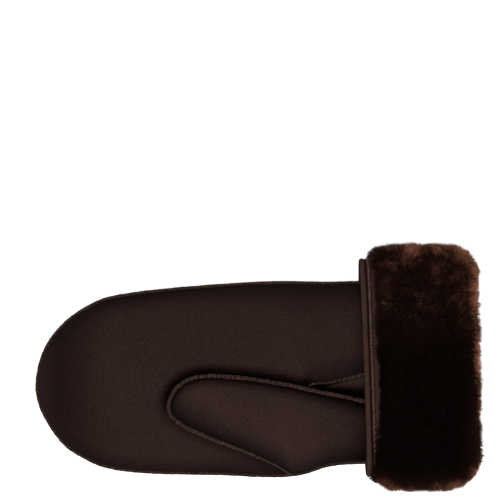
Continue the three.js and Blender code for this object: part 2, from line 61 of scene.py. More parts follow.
bl_info = {
    "name": "Shearling Mitten",
    "version": (1, 0, 0),
    "blender": (4, 5, 0),
    "location": "View3D > Sidebar > Mitten",
    "description": "Dresses the frame of a shearling mitten in leather, stitches and wool",
    "category": "Add Mesh",
}

# Driving sizes in millimetres, as in the frame's own solids, but with the thumb 0.6 mm shorter
HAND_LENGTH = 212.5
HAND_WIDTH = 125.5
HAND_DRIFT = 6.8
PALM_CROWN = 21.0
BACK_DROP = 17.5
SEAM_HEIGHT = 14.5
WRIST_RISE = 10.0
HIDE_WALL = 5.0
SIDE_WALL = 4.0
THUMB_LENGTH = 126.2
THUMB_CROWN = 15.0
THUMB_WALL = 4.0
THUMB_SIDE_WALL = 3.4
THUMB_EDGE = 1.5
THUMB_TUCK = 5.0
PLEAT_DEPTH = 4.5
WELT = 2.0
SIDE_WELT_OUT = 1.8
THUMB_WELT = 2.4
THUMB_WELT_OUT = 2.6
BACK_WELT_OUT = 1.9
GUSSET_WELT_OUT = 1.6
GUSSET_HALF = 0.6
BACK_WELT_LIFT = 2.3
BACK_WELT_SPAN = 16.0
CLEARANCE = 0.3
CUFF_LENGTH = 78.0
CUFF_SKIN = 1.6
CUFF_SIDE_GAP = 11.8
CUFF_TOP_GAP = 5.0
CUFF_BOTTOM_GAP = 2.6
PILE = 10.8
PILE_UNDER = 0.72
CUFF_SLANT = 0.035
PIPING = 3.8
FACING_WIDTH = 7.4
FACING_THICKNESS = 1.2
OVERHANG_LITTLE = 4.0
OVERHANG_THUMB = 9.5
PANEL_END = 17.0

JOINT_HALF = WELT / 2 + CLEARANCE
THUMB_JOINT = THUMB_WELT + 2 * CLEARANCE
LEATHER_WIDTH = HAND_WIDTH - 2 * SIDE_WELT_OUT
LEATHER_LENGTH = HAND_LENGTH - SIDE_WELT_OUT
ARCH_POWER = 2.6
HAND_ARCH = 0.72
WRIST_ARCH = 1 / ARCH_POWER
END_X = HAND_LENGTH + PANEL_END
END_SHARE = (END_X - SIDE_WELT_OUT) / LEATHER_LENGTH

# The hand's outline, within 1.3 mm of the solids' own: share of its length from the tip, and its two sides
# in shares of its width
HAND_OUTLINE = {
    "from_tip": (0, 0.026, 0.087, 0.149, 0.21, 0.332, 0.577, 0.718, 0.81, 0.902, 1, 1.12),
    "outer": (-0.054, 0.147, 0.286, 0.362, 0.411, 0.448, 0.486, 0.499, 0.499, 0.497, 0.502, 0.502),
    "thumb": (0.054, 0.21, 0.358, 0.426, 0.471, 0.499, 0.51, 0.52, 0.508, 0.457, 0.442, 0.438),
}
# The hand's thickness: palm crown, back drop, seam height and wrist rise, in shares of their sizes
HAND_DEPTH = {
    "from_tip": (0, 0.026, 0.087, 0.149, 0.332, 0.577, 0.75, 0.85, 0.93, 1, 1.12),
    "crown": (0, 0.36, 0.62, 0.76, 0.94, 1, 1, 0.93, 0.82, 0.74, 0.74),
    "drop": (0, 0.42, 0.72, 0.86, 1, 1, 1, 0.94, 0.84, 0.74, 0.74),
    "seam": (0.84, 0.84, 0.86, 0.92, 1, 1, 1, 1, 1, 1, 1),
    "rise": (0, 0, 0, 0, 0, 0, 0.04, 0.3, 0.78, 1, 1),
}
# The thumb's outline, within 1.9 mm of the solids' own: its edges in shares of the hand's width, and its
# crown
THUMB_OUTLINE = {
    "from_tip": (0, 0.015, 0.041, 0.082, 0.19, 0.374, 0.487, 0.554, 0.626, 0.738, 0.913, 1.01, 1.14),
    "upper": (
        -0.146, -0.083, -0.033, 0.004, 0.029, 0.018, 0.003, -0.009, -0.02, -0.045, -0.079, -0.103,
        -0.126,
    ),
    "lower": (
        -0.146, -0.189, -0.224, -0.258, -0.306, -0.38, -0.431, -0.466, -0.515, -0.587, -0.597,
        -0.606, -0.603,
    ),
    "crown": (0, 0.36, 0.56, 0.72, 0.92, 1, 1.02, 1, 0.94, 0.76, 0.34, 0.16, 0.1),
}
# Where the palm is cut away for the thumb
CROTCH_CUT = {
    "from_tip": (0.784, 0.788, 0.794, 0.802, 0.813, 0.833, 0.9, 0.95, 1, 1.12),
    "cut": (-0.53, -0.45, -0.33, -0.2, -0.1, -0.037, -0.017, 0.003, 0.027, 0.055),
}
# The wool's section: its outside (run along the cuff, gap from the wrist, pile, lining, spread over the
# facing) and the skin under it
FLEECE = {
    "run": (
        0.16, 0.155, 0.15, 0.15, 0.16, 0.2, 0.26, 0.34, 0.42, 0.5, 0.58, 0.66, 0.74, 0.82, 0.89,
        0.95, 0.985, 1, 0.985, 0.95, 0.89, 0.222,
    ),
    "gap": (1, 1, 1, 1, 1, 1, 1, 1, 1, 1, 1, 1, 1, 1, 0.95, 0.82, 0.62, 0.4, 0.2, 0.04, 0, 0),
    "pile": (
        0.03, 0.17, 0.19, 0.36, 0.62, 0.84, 0.97, 1, 1, 1, 1, 1, 0.99, 0.9, 0.68, 0.35, 0.04, 0, 0,
        0, 0, 0,
    ),
    "lining": (0, 0, 0, 0, 0, 0, 0, 0, 0, 0, 0, 0, 0, 0, 0, 0, 0, 0.1, 0.45, 0.85, 1, 1),
    "spread": (0, 0, 0.9, 1, 0.9, 0.7, 0.4, 0, 0, 0, 0, 0, 0, 0, 0, 0, 0, 0, 0, 0, 0, 0),
    "skin_run": (
        0.165, 0.17, 0.18, 0.19, 0.2, 0.22, 0.27, 0.34, 0.42, 0.5, 0.58, 0.66, 0.74, 0.8, 0.85,
        0.875, 0.89, 0.893, 0.88, 0.86, 0.82, 0.222,
    ),
    "skin_gap": (1, 1, 1, 1, 1, 1, 1, 1, 1, 1, 1, 1, 1, 1, 0.93, 0.8, 0.62, 0.42, 0.25, 0.1, 0, 0),
    "skin_off": (
        0.3, 0.3, 0.3, 0.3, 0.3, 0.3, 0.3, 0.3, 0.3, 0.3, 0.3, 0.3, 0.3, 0.3, 0.3, 0.2, 0, -0.9,
        -1.6, -1.9, -1.9, -1.9,
    ),
}


# Shape helpers


def lerp(a, b, t):
    """a at t = 0 and b at t = 1."""
    return a + (b - a) * t


def smooth(x, low, high):
    """Cubic ease from 0 at low to 1 at high: 3s^2 - 2s^3."""
    s = np.clip((np.asarray(x, float) - low) / (high - low), 0.0, 1.0)
    return s * s * (3 - 2 * s)


def hermite(place, values, at):
    """Cubic curve through values at place, whose slope at each is that of the line between its
    neighbours."""
    place, values = np.asarray(place, float), np.asarray(values, float)
    at = np.clip(np.asarray(at, float), place[0], place[-1])
    i = np.clip(np.searchsorted(place, at, side="left") - 1, 0, len(place) - 2)
    ahead = np.minimum(np.arange(len(place)) + 1, len(place) - 1)
    behind = np.maximum(np.arange(len(place)) - 1, 0)
    slope = (values[ahead] - values[behind]) / (place[ahead] - place[behind])
    span = place[i + 1] - place[i]
    s = (at - place[i]) / span
    bend = (1 - s) ** 2 * s * slope[i] - (1 - s) * s * s * slope[i + 1]
    return lerp(values[i], values[i + 1], s * s * (3 - 2 * s)) + bend * span


def along(table, column, share):
    """A table's column as a smooth curve, read against the square root of the share so that tips are
    round."""
    return hermite(np.sqrt(table["from_tip"]), table[column], np.sqrt(np.maximum(share, 0)))


def arch(t, power):
    """A rounded vault over t from -1 to 1: (1 - |t|^2.6)^power."""
    return np.maximum(0, 1 - np.abs(t) ** ARCH_POWER) ** power


def waves(points, wavelength, seed, count=14):
    """Soft relief from about -1 to 1: a sum of sines that run in random directions, all of one
    wavelength."""
    rng = np.random.default_rng(seed)
    ways = rng.normal(size=(count, 3))
    ways /= np.linalg.norm(ways, axis=1, keepdims=True)
    ways *= 2 * np.pi / (wavelength * rng.uniform(0.7, 1.4, (count, 1)))
    phase = rng.uniform(0, 2 * np.pi, count)
    return np.sin(points @ ways.T + phase).sum(-1) / np.sqrt(count)


def hand_section(share):
    """The hand's section at a share of its length: x, middle, half width, seam height, crown, drop and
    arch."""
    outer = -HAND_DRIFT + along(HAND_OUTLINE, "outer", share) * LEATHER_WIDTH
    thumb = -HAND_DRIFT - along(HAND_OUTLINE, "thumb", share) * LEATHER_WIDTH
    level = along(HAND_DEPTH, "seam", share) * SEAM_HEIGHT
    return {
        "x": SIDE_WELT_OUT + share * LEATHER_LENGTH,
        "middle": (outer + thumb) / 2,
        "half": np.maximum((outer - thumb) / 2, 0),
        "seam": level + along(HAND_DEPTH, "rise", share) * WRIST_RISE,
        "crown": np.maximum(along(HAND_DEPTH, "crown", share), 0) * PALM_CROWN,
        "drop": np.maximum(along(HAND_DEPTH, "drop", share), 0) * BACK_DROP,
        "arch": lerp(HAND_ARCH, WRIST_ARCH, smooth(share, 0.8, 1)),
    }


def inside_x(x):
    """The length of the hand's inner surface: the outer one drawn towards the wrist by the side wall."""
    return END_X - (END_X - x) * (1 - SIDE_WALL / (END_X - SIDE_WELT_OUT))


def palm_height(share, y):
    """Height of the palm's leather over a point of the plan."""
    s = hand_section(share)
    t = np.minimum(np.abs(y - s["middle"]) / np.maximum(s["half"], 1), 1)
    return s["seam"] + JOINT_HALF + s["crown"] * arch(t, s["arch"])


def hand_share(x):
    """Share of the hand's length at x."""
    return (x - SIDE_WELT_OUT) / LEATHER_LENGTH


def hand_x(share):
    """x at a share of the hand's length."""
    return SIDE_WELT_OUT + share * LEATHER_LENGTH


# Places of the thumb and the pleat, the shares being of the hand's length
GUSSET_SHARE = 0.835
CROTCH_END_SHARE = 0.85
THUMB_TIP = HAND_LENGTH - THUMB_LENGTH
CROTCH_X = hand_x(CROTCH_CUT["from_tip"][0])
MERGE_X = hand_x(0.848)
PLEAT_X = hand_x(0.9)
# How far the thumb's underside lies above the palm
SEAT_GAP = CLEARANCE + 0.3
SEAT_RISE = SEAT_GAP + THUMB_EDGE


def cut_at(share):
    """The palm's cut edge: its y at a share of the hand's length."""
    return -HAND_DRIFT + along(CROTCH_CUT, "cut", share) * LEATHER_WIDTH


def thumb_section(share_of_thumb):
    """The thumb's section: its edges in plan, its crown, and how high its seam stands above the palm."""
    x = THUMB_TIP + THUMB_WELT_OUT + share_of_thumb * (THUMB_LENGTH - THUMB_WELT_OUT)
    share = hand_share(x)
    hand = hand_section(share)
    rim = THUMB_WELT_OUT * smooth(share_of_thumb, 0, 0.06)
    upper = -HAND_DRIFT + along(THUMB_OUTLINE, "upper", share_of_thumb) * HAND_WIDTH - rim
    lower = -HAND_DRIFT + along(THUMB_OUTLINE, "lower", share_of_thumb) * HAND_WIDTH + rim
    lower = np.maximum(lower, hand["middle"] - hand["half"])
    settled = smooth(x, CROTCH_X - 18, CROTCH_X - 3)
    pleat = smooth(x, MERGE_X, PLEAT_X + 24)
    seat_upper = lerp(SEAT_RISE, -PLEAT_DEPTH, pleat)
    low_edge = lerp(SEAT_RISE + THUMB_JOINT, SEAT_GAP + 0.5, settled)
    return {
        "x": x,
        "share": share,
        "upper": upper,
        "lower": lower,
        "slipped": smooth(x, CROTCH_X - 36, CROTCH_X - 18),
        "settled": settled,
        "pleat": pleat,
        "seat_upper": seat_upper,
        "edge_upper": seat_upper + THUMB_JOINT,
        "edge_lower": lerp(low_edge, 0, smooth(x, CROTCH_X, CROTCH_X + 4)),
        "crown": np.maximum(along(THUMB_OUTLINE, "crown", share_of_thumb), 0) * THUMB_CROWN,
    }


WRIST = hand_section(np.array(1.0))


def cuff_point(run, angle, gap, off, spread=0.0):
    """A point of the cuff. Round the wrist it is a superellipse, |y/a|^n + |z/b|^n = 1, whose half sizes
    grow with the gap and the offset; the offset shrinks below, and the ring slants and spreads towards
    the hand."""
    run, angle, gap, off, spread = np.broadcast_arrays(run, angle, gap, off, spread)
    power = 2 / lerp(ARCH_POWER, np.where(np.sin(angle) > 0, 2.7, 3.1), gap)
    sideways = np.sign(np.cos(angle)) * np.abs(np.cos(angle)) ** power
    upright = np.sign(np.sin(angle)) * np.abs(np.sin(angle)) ** power
    y = lerp(WRIST["middle"], 0, gap) + sideways * (WRIST["half"] + gap * CUFF_SIDE_GAP + off)
    above = WRIST["crown"] + gap * CUFF_TOP_GAP + off
    below = WRIST["drop"] + gap * CUFF_BOTTOM_GAP + off * np.where(off > 0, PILE_UNDER, 1)
    z = WRIST["seam"] + upright * (JOINT_HALF + np.where(upright > 0, above, below))
    overhang = np.where(sideways > 0, OVERHANG_LITTLE, OVERHANG_THUMB) * np.abs(sideways) ** 3
    x = HAND_LENGTH + run * CUFF_LENGTH - overhang * spread
    slant = np.maximum(gap, (x - END_X) / (CUFF_LENGTH - PANEL_END))
    return np.stack([x - CUFF_SLANT * y * slant, y, np.maximum(z, 0)], -1)


# Mesh helpers


def millimetres(points):
    """Points of the shape functions, in metres in the frame's place."""
    return (np.asarray(points, float).reshape(-1, 3) + (ORIGIN_X, 0.0, 0.0)) * 0.001


def normals(grid, closed=False):
    """Unit normals of a grid of points: the cross product of its two central differences."""
    u = np.gradient(grid, axis=0)
    if closed:
        v = (np.roll(grid, -1, 1) - np.roll(grid, 1, 1)) / 2
    else:
        v = np.gradient(grid, axis=1)
    n = np.cross(u, v)
    return n / np.maximum(np.linalg.norm(n, axis=-1, keepdims=True), 1e-9)


def build(name, points, faces, material, attributes=None, parts=None, smooth_faces=True):
    """Makes a mesh object from points in millimetres and quads or triangles, closed and with its faces
    outward."""
    mesh = bpy.data.meshes.new(name)
    points = millimetres(points)
    faces = np.asarray(faces)
    mesh.vertices.add(len(points))
    mesh.vertices.foreach_set("co", points.ravel())
    mesh.loops.add(faces.size)
    mesh.loops.foreach_set("vertex_index", faces.ravel())
    mesh.polygons.add(len(faces))
    mesh.polygons.foreach_set("loop_start", np.arange(len(faces)) * faces.shape[1])
    mesh.update(calc_edges=True)
    mesh.validate()
    for key, values in (attributes or {}).items():
        layer = mesh.attributes.new(key, "FLOAT", "POINT")
        layer.data.foreach_set("value", np.asarray(values, float).ravel())
    materials = material if isinstance(material, (list, tuple)) else [material]
    for item in materials:
        mesh.materials.append(item)
    if parts is not None:
        mesh.polygons.foreach_set("material_index", np.asarray(parts, int))
    mesh.polygons.foreach_set("use_smooth", np.full(len(mesh.polygons), smooth_faces))
    obj = bpy.data.objects.new(name, mesh)
    bpy.context.scene.collection.objects.link(obj)
    return obj


def clean(obj):
    """Merges points that fall together, drops faces with no area and turns every face outward."""
    work = bmesh.new()
    work.from_mesh(obj.data)
    bmesh.ops.remove_doubles(work, verts=work.verts, dist=2e-6)
    bmesh.ops.dissolve_degenerate(work, edges=work.edges, dist=1e-7)
    bmesh.ops.recalc_face_normals(work, faces=work.faces)
    work.to_mesh(obj.data)
    work.free()
    return obj


def grid_faces(rows, columns, loop_rows=False, loop_columns=False):
    """Quads of a grid whose points are numbered row by row."""
    i = np.arange(rows if loop_rows else rows - 1)
    j = np.arange(columns if loop_columns else columns - 1)
    i, j = (a.ravel() for a in np.meshgrid(i, j, indexing="ij"))
    k, m = (i + 1) % rows, (j + 1) % columns
    return np.stack([i * columns + j, i * columns + m, k * columns + m, k * columns + j], -1)


def sweep(name, sections, material, looped=False, parts=None, attributes=None):
    """A closed solid through closed sections, an array rows x points x 3. Each section runs out along
    one face and back along the other, so each end is capped by strips between the two."""
    rows, count = sections.shape[:2]
    faces = grid_faces(rows, count, loop_rows=looped, loop_columns=True)
    kinds = np.zeros(len(faces), int) if parts is None else np.tile(parts, rows if looped else rows - 1)
    if not looped:
        j = np.arange(count // 2 - 1)
        k = count - 1 - j
        last = (rows - 1) * count
        caps = [
            np.stack([j, k, k - 1, j + 1], -1),
            np.stack([last + j + 1, last + k - 1, last + k, last + j], -1)
        ]
        faces = np.concatenate([faces, *caps])
        kinds = np.concatenate([kinds, np.zeros(2 * len(j), int)])
    return clean(build(name, sections, faces, material, attributes=attributes, parts=kinds))


def beads(centres, along_way, across_way, up_way, length, width, height, rings=5, sides=6):
    """Many short threads at once. Each is an ellipsoid stretched along its own way: its ring radius is
    the square root of 1 - t^2 for t from -1 to 1. Returns points and triangles-as-quads for one joined
    mesh."""
    t = np.sin(np.linspace(-np.pi / 2, np.pi / 2, rings))
    round_off = np.sqrt(np.maximum(1 - t * t, 0.0))
    turn = np.arange(sides) * 2 * np.pi / sides
    ring = round_off[:, None] * np.cos(turn), round_off[:, None] * np.sin(turn)
    length, width, height = (
        np.broadcast_to(v, len(centres))[:, None, None, None] for v in (length, width, height)
    )
    points = centres[:, None, None, :] + 0.5 * (
        length * t[None, :, None, None] * along_way[:, None, None, :]
        + width * ring[0][None, :, :, None] * across_way[:, None, None, :]
        + height * ring[1][None, :, :, None] * up_way[:, None, None, :]
    )
    one = grid_faces(rings, sides, loop_columns=True)
    faces = (one[None] + (np.arange(len(centres)) * rings * sides)[:, None, None]).reshape(-1, 4)
    return points.reshape(-1, 3), faces


# Materials


def new_material(name):
    """An empty node material with its Principled shader, and a helper that adds linked nodes."""
    material = bpy.data.materials.new(name)
    material.use_nodes = True
    tree = material.node_tree
    shader = tree.nodes["Principled BSDF"]

    def node(kind, links=(), **values):
        """Adds a node, sets its sockets or properties, and links sources to its sockets."""
        made = tree.nodes.new(kind)
        for key, value in values.items():
            if key in made.inputs:
                made.inputs[key].default_value = value
            else:
                setattr(made, key, value)
        for socket, source in links:
            tree.links.new(source, made.inputs[socket])
        return made

    return material, tree, shader, node


def ramp(made, stops):
    """Sets a colour ramp's stops: (place, value or colour)."""
    elements = made.color_ramp.elements
    while len(elements) < len(stops):
        elements.new(0.5)
    for element, (place, value) in zip(elements, stops):
        element.position = place
        colour = (value, value, value) if np.isscalar(value) else value
        element.color = (*colour, 1.0)


def leather_material(name, colour, grain, depth):
    """Soft hide: pebbled grain of two sizes with fine pores, broad tone changes, a low uneven gloss, and
    painted shade from a point attribute multiplied into its colour.
    """
    material, tree, shader, node = new_material(name)
    place = node("ShaderNodeTexCoord").outputs["Object"]
    tone = node("ShaderNodeTexNoise", [("Vector", place)], Scale=26.0, Detail=3.0, Roughness=0.55)
    drawn = node("ShaderNodeMapping", [("Vector", place)], Rotation=(0.0, 0.0, 0.7), Scale=(1.0, 0.55, 1.0))
    mottle = node(
        "ShaderNodeTexNoise",
        [("Vector", drawn.outputs["Vector"])],
        Scale=grain * 1.7,
        Detail=2.0,
        Roughness=0.6
    )
    pebbles = node("ShaderNodeTexVoronoi", [("Vector", place)], Scale=grain, feature="F1")
    creases = node("ShaderNodeTexNoise", [("Vector", place)], Scale=grain * 1.6, Detail=6.0, Roughness=0.65)
    wide = node("ShaderNodeTexNoise", [("Vector", place)], Scale=95.0, Detail=4.0, Roughness=0.6)
    mix = node("ShaderNodeMix", [("Factor", tone.outputs["Fac"])], data_type="RGBA")
    mix.inputs[6].default_value = (*[c * 0.84 for c in colour], 1)
    mix.inputs[7].default_value = (*[c * 1.18 for c in colour], 1)
    spots = node("ShaderNodeValToRGB", [("Fac", mottle.outputs["Fac"])])
    ramp(spots, [(0.34, 0.6), (0.66, 1.4)])
    shade = node("ShaderNodeMix", data_type="RGBA", blend_type="MULTIPLY")
    shade.inputs[0].default_value = 1.0
    tree.links.new(mix.outputs[2], shade.inputs[6])
    tree.links.new(spots.outputs["Color"], shade.inputs[7])
    # The point attribute multiplied in here is painted shade, darker by the seams, beside the thumb and
    # under the cuff where shade falls, and painted light on the piping's top.
    painted_shading = node("ShaderNodeAttribute", attribute_name="painted_shading")
    wear_and_painted_shade = node("ShaderNodeMix", data_type="RGBA", blend_type="MULTIPLY")
    wear_and_painted_shade.inputs[0].default_value = 1.0
    tree.links.new(shade.outputs[2], wear_and_painted_shade.inputs[6])
    tree.links.new(painted_shading.outputs["Color"], wear_and_painted_shade.inputs[7])
    tree.links.new(wear_and_painted_shade.outputs[2], shader.inputs["Base Color"])
    gloss = node("ShaderNodeMapRange", [("Value", mottle.outputs["Fac"])])
    gloss.inputs["To Min"].default_value = 0.5
    gloss.inputs["To Max"].default_value = 0.7
    tree.links.new(gloss.outputs["Result"], shader.inputs["Roughness"])
    shader.inputs["IOR"].default_value = 1.08
    shader.inputs["Specular IOR Level"].default_value = 0.06
    shader.inputs["Sheen Weight"].default_value = 0.0
    shader.inputs["Sheen Roughness"].default_value = 0.5
    grainy = node(
        "ShaderNodeMath",
        [(0, pebbles.outputs["Distance"]), (1, creases.outputs["Fac"])],
        operation="MULTIPLY"
    )
    first = node("ShaderNodeBump", [("Height", wide.outputs["Fac"])], Strength=0.12, Distance=0.0012)
    second = node(
        "ShaderNodeBump",
        [("Height", grainy.outputs["Value"]), ("Normal", first.outputs["Normal"])],
        Strength=depth,
        Distance=0.0004,
    )
    tree.links.new(second.outputs["Normal"], shader.inputs["Normal"])
    return material


def suede_material(name, colour):
    """A raw hide edge or a flesh side: fibrous, without gloss, with a soft nap."""
    material, tree, shader, node = new_material(name)
    place = node("ShaderNodeTexCoord").outputs["Object"]
    fibre = node("ShaderNodeTexNoise", [("Vector", place)], Scale=900.0, Detail=5.0, Roughness=0.7)
    tint = node("ShaderNodeValToRGB", [("Fac", fibre.outputs["Fac"])])
    ramp(tint, [(0.3, [c * 0.5 for c in colour]), (0.72, [c * 1.6 for c in colour])])
    tree.links.new(tint.outputs["Color"], shader.inputs["Base Color"])
    shader.inputs["Roughness"].default_value = 0.85
    shader.inputs["Specular IOR Level"].default_value = 0.04
    shader.inputs["Sheen Weight"].default_value = 0.02
    bump = node("ShaderNodeBump", [("Height", fibre.outputs["Fac"])], Strength=0.5, Distance=0.0004)
    tree.links.new(bump.outputs["Normal"], shader.inputs["Normal"])
    return material


def thread_material(name, colour):
    """Twisted sewing thread: a fine ply across each stitch and a soft sheen."""
    material, tree, shader, node = new_material(name)
    place = node("ShaderNodeTexCoord").outputs["Object"]
    ply = node("ShaderNodeTexWave", [("Vector", place)], Scale=900.0, Distortion=3.0, Detail=1.0)
    wear_and_painted_shade = node("ShaderNodeTexNoise", [("Vector", place)], Scale=820.0, Detail=2.0, Roughness=0.7)
    tint = node("ShaderNodeValToRGB", [("Fac", wear_and_painted_shade.outputs["Fac"])])
    ramp(tint, [(0.36, [c * 0.2 for c in colour]), (0.64, [c * 1.9 for c in colour])])
    tree.links.new(tint.outputs["Color"], shader.inputs["Base Color"])
    shader.inputs["Roughness"].default_value = 0.6
    shader.inputs["Specular IOR Level"].default_value = 0.04
    bump = node("ShaderNodeBump", [("Height", ply.outputs["Fac"])], Strength=0.3, Distance=0.0001)
    tree.links.new(bump.outputs["Normal"], shader.inputs["Normal"])
    return material


def wool_material(name, root, middle, tip, sheen):
    """Wool whose colour follows the attribute shade, which is painted light and shade: from the dark root
    of a strand, in shade deep in the pile, to its lit tip, with a painted highlight at twice the tip's
    colour on top.
    """
    material, tree, shader, node = new_material(name)
    shade = node("ShaderNodeAttribute", attribute_name="shade")
    tint = node("ShaderNodeValToRGB", [("Fac", shade.outputs["Fac"])])
    ramp(tint, [(0.0, root), (0.5, middle), (0.8, tip), (1.0, [c * 2.1 for c in tip])])
    tree.links.new(tint.outputs["Color"], shader.inputs["Base Color"])
    shader.inputs["Roughness"].default_value = 0.75
    shader.inputs["Specular IOR Level"].default_value = 0.03
    shader.inputs["Sheen Weight"].default_value = sheen
    shader.inputs["Sheen Roughness"].default_value = 0.45
    shader.inputs["Sheen Tint"].default_value = (0.55, 0.22, 0.14, 1.0)
    return material


# The hand


def hand_shares(tip=84, crotch=22, wrist=34):
    """Shares of the hand's length where it is sectioned: squared at the tip, close at the crotch, even
    at the wrist."""
    start = CROTCH_CUT["from_tip"][0]
    return np.concatenate(
        [
            np.linspace(0, 1, tip + 1) ** 2 * start,
            np.linspace(start, CROTCH_END_SHARE, crotch + 1)[1:],
            np.linspace(CROTCH_END_SHARE, END_SHARE, wrist + 1)[1:],
        ]
    )


def eased(count):
    """Places from -1 to 1, closer at both ends: sin(w pi / 2)."""
    return np.sin(np.linspace(-1, 1, count) * np.pi / 2)


def arc_from_start(grid):
    """Distance travelled along each row of a grid from its first point."""
    step = np.linalg.norm(np.diff(grid, axis=1), axis=-1)
    return np.concatenate([np.zeros((len(grid), 1)), np.cumsum(step, 1)], 1)


# Dents of the hide: how deep, and how long
DENTS = ((0.34, 46), (0.1, 17), (0.03, 6.5))
# The groove beside a seam: its depth, its distance from the edge, and the square of its width
GROOVE_DEPTH = 0.28
GROOVE_PLACE = 1.2
GROOVE_SPREAD = 1.6
PUCKER_REACH = 2.6


def hide_relief(skin, seed, puckers=0.16, edges=(True, True), pitch=3.6):
    """Moves a skin along its normals: broad soft dents, small uneven ones, and beside a seam a groove
    that puckers once a stitch, as cos(2 pi s / pitch) fading with the distance from the edge."""
    arc = arc_from_start(skin)
    along_seam = np.concatenate([[0.0], np.cumsum(np.linalg.norm(np.diff(skin[:, 0], axis=0), axis=-1))])
    width = arc[:, -1:]
    lift = sum(depth * waves(skin, length, seed + k) for k, (depth, length) in enumerate(DENTS))
    calm = smooth(np.minimum(arc, width - arc), 0, 9)
    lift = lift * calm
    wander = 0.35 + 0.65 * np.abs(waves(skin, 21, seed + 3))
    for used, distance in zip(edges, (arc, width - arc)):
        if used:
            broad = smooth(width, 6, 20)
            fade = np.exp(-distance / PUCKER_REACH) * broad
            lift = lift + puckers * wander * np.cos(along_seam[:, None] * 2 * np.pi / pitch) * fade
            lift = lift - GROOVE_DEPTH * np.exp(-((distance - GROOVE_PLACE) ** 2) / GROOVE_SPREAD) * broad
    lift[0] = 0
    return skin + normals(skin) * lift[..., None]


def facing_up(grid, sign):
    """The sign that makes a grid's normals point up (1) or down (-1) on the whole."""
    return sign * np.sign(normals(grid)[..., 2].mean())


def relieved(skin, seed, outward, **choices):
    """hide_relief with the lift counted outward, whichever way the grid's normals point."""
    sign = facing_up(skin, outward)
    if sign < 0:
        edges = choices.pop("edges", (True, True))[::-1]
        return hide_relief(skin[:, ::-1], seed, edges=edges, **choices)[:, ::-1]
    return hide_relief(skin, seed, **choices)


def painted_seam_shade(skin, first, last):
    """Painted shade on the hide: darker towards the seams at both ends of each row, as (darkest, reach),
    where the hide turns from the light, and towards the cuff, in the piping's shadow."""
    arc = arc_from_start(skin)
    from_first = lerp(first[0], 1.0, smooth(arc, 0, first[1]))
    from_last = lerp(last[0], 1.0, smooth(arc[:, -1:] - arc, 0, last[1]))
    return from_first * from_last * lerp(0.55, 1.0, smooth(HAND_LENGTH - skin[..., 0], -3, 11))


def panel(name, skin, inside, materials, painted_shading):
    """A hide: its grain side, its clipped wool inside and its raw edges, as one closed wall, with painted
    shade given as a point attribute on both faces.
    """
    count = skin.shape[1]
    painted_shading = np.concatenate([painted_shading, painted_shading[:, ::-1]], 1)
    parts = np.concatenate([np.zeros(count - 1, int), [2], np.ones(count - 1, int), [2]])
    sections = np.concatenate([skin, inside[:, ::-1]], 1)
    return sweep(name, sections, materials, parts=parts, attributes={"painted_shading": painted_shading.ravel()})


def thumb_shadow(skin):
    """Painted shadow on the palm beside the thumb's seam: dark where the thumb's raised edge shades the
    palm, darkest on its upper side, easing to full tone 7 mm away.
    """
    path, _, _ = thumb_welt_path(160)
    over = plan_outward(path)
    places = skin[..., :2].reshape(-1, 2)
    size = (path[:, :2] ** 2).sum(1)
    near = np.argmin(size[None] - 2 * places @ path[:, :2].T, axis=1)
    away = places - path[near, :2]
    distance = np.maximum((away * over[near, :2]).sum(1) - THUMB_WELT_OUT, 0)
    facing = smooth(over[near, 1], -0.6, 0.5)
    shade = lerp(lerp(0.5, 0.07, facing), 1.0, smooth(distance, lerp(-1.0, 1.2, facing), 8.2))
    return shade.reshape(skin.shape[:2])


def palm_panel(materials):
    """The palm: a vault seam + crown (1 - |t|^2.6)^power over its half width, cut away for the thumb."""
    share = hand_shares()[:, None]
    s = hand_section(share)
    half = np.maximum(s["half"], 1e-6)
    cut = np.maximum(-1, (cut_at(share) + GUSSET_HALF - s["middle"]) / half)
    low = np.where(share <= CROTCH_CUT["from_tip"][0], -1, cut)
    t = lerp(low, 1.0, (eased(88)[None] + 1) / 2)
    foot = s["seam"] + JOINT_HALF
    over = foot + s["crown"] * arch(t, s["arch"])
    skin = np.stack(np.broadcast_arrays(s["x"], s["middle"] + t * s["half"], over), -1)
    narrow = s["half"] * (1 - 2 * SIDE_WALL / LEATHER_WIDTH)
    under = foot + s["crown"] * (1 - HIDE_WALL / PALM_CROWN) * arch(t, s["arch"])
    inside = np.stack(np.broadcast_arrays(inside_x(s["x"]), s["middle"] + t * narrow, under), -1)
    # Painted shade: darker towards the seams and the cuff, in a band near the fingertip where the vault
    # turns from the light, and in the painted shadow beside the thumb.
    reach = lerp(20, 32, smooth(skin[..., 0], 110, 185))
    edges = painted_seam_shade(skin, (0.45, 19), (0.38, reach))
    tip = 0.5 + 0.5 * smooth(skin[..., 0], 14, 56) + 0.24 * (1 - smooth(skin[..., 0], 2, 16))
    painted_shading = lerp(1.0, edges, smooth(skin[..., 0], 6, 50)) * thumb_shadow(skin) * tip
    return panel("palm_leather", relieved(skin, 11, 1), inside, materials, painted_shading)


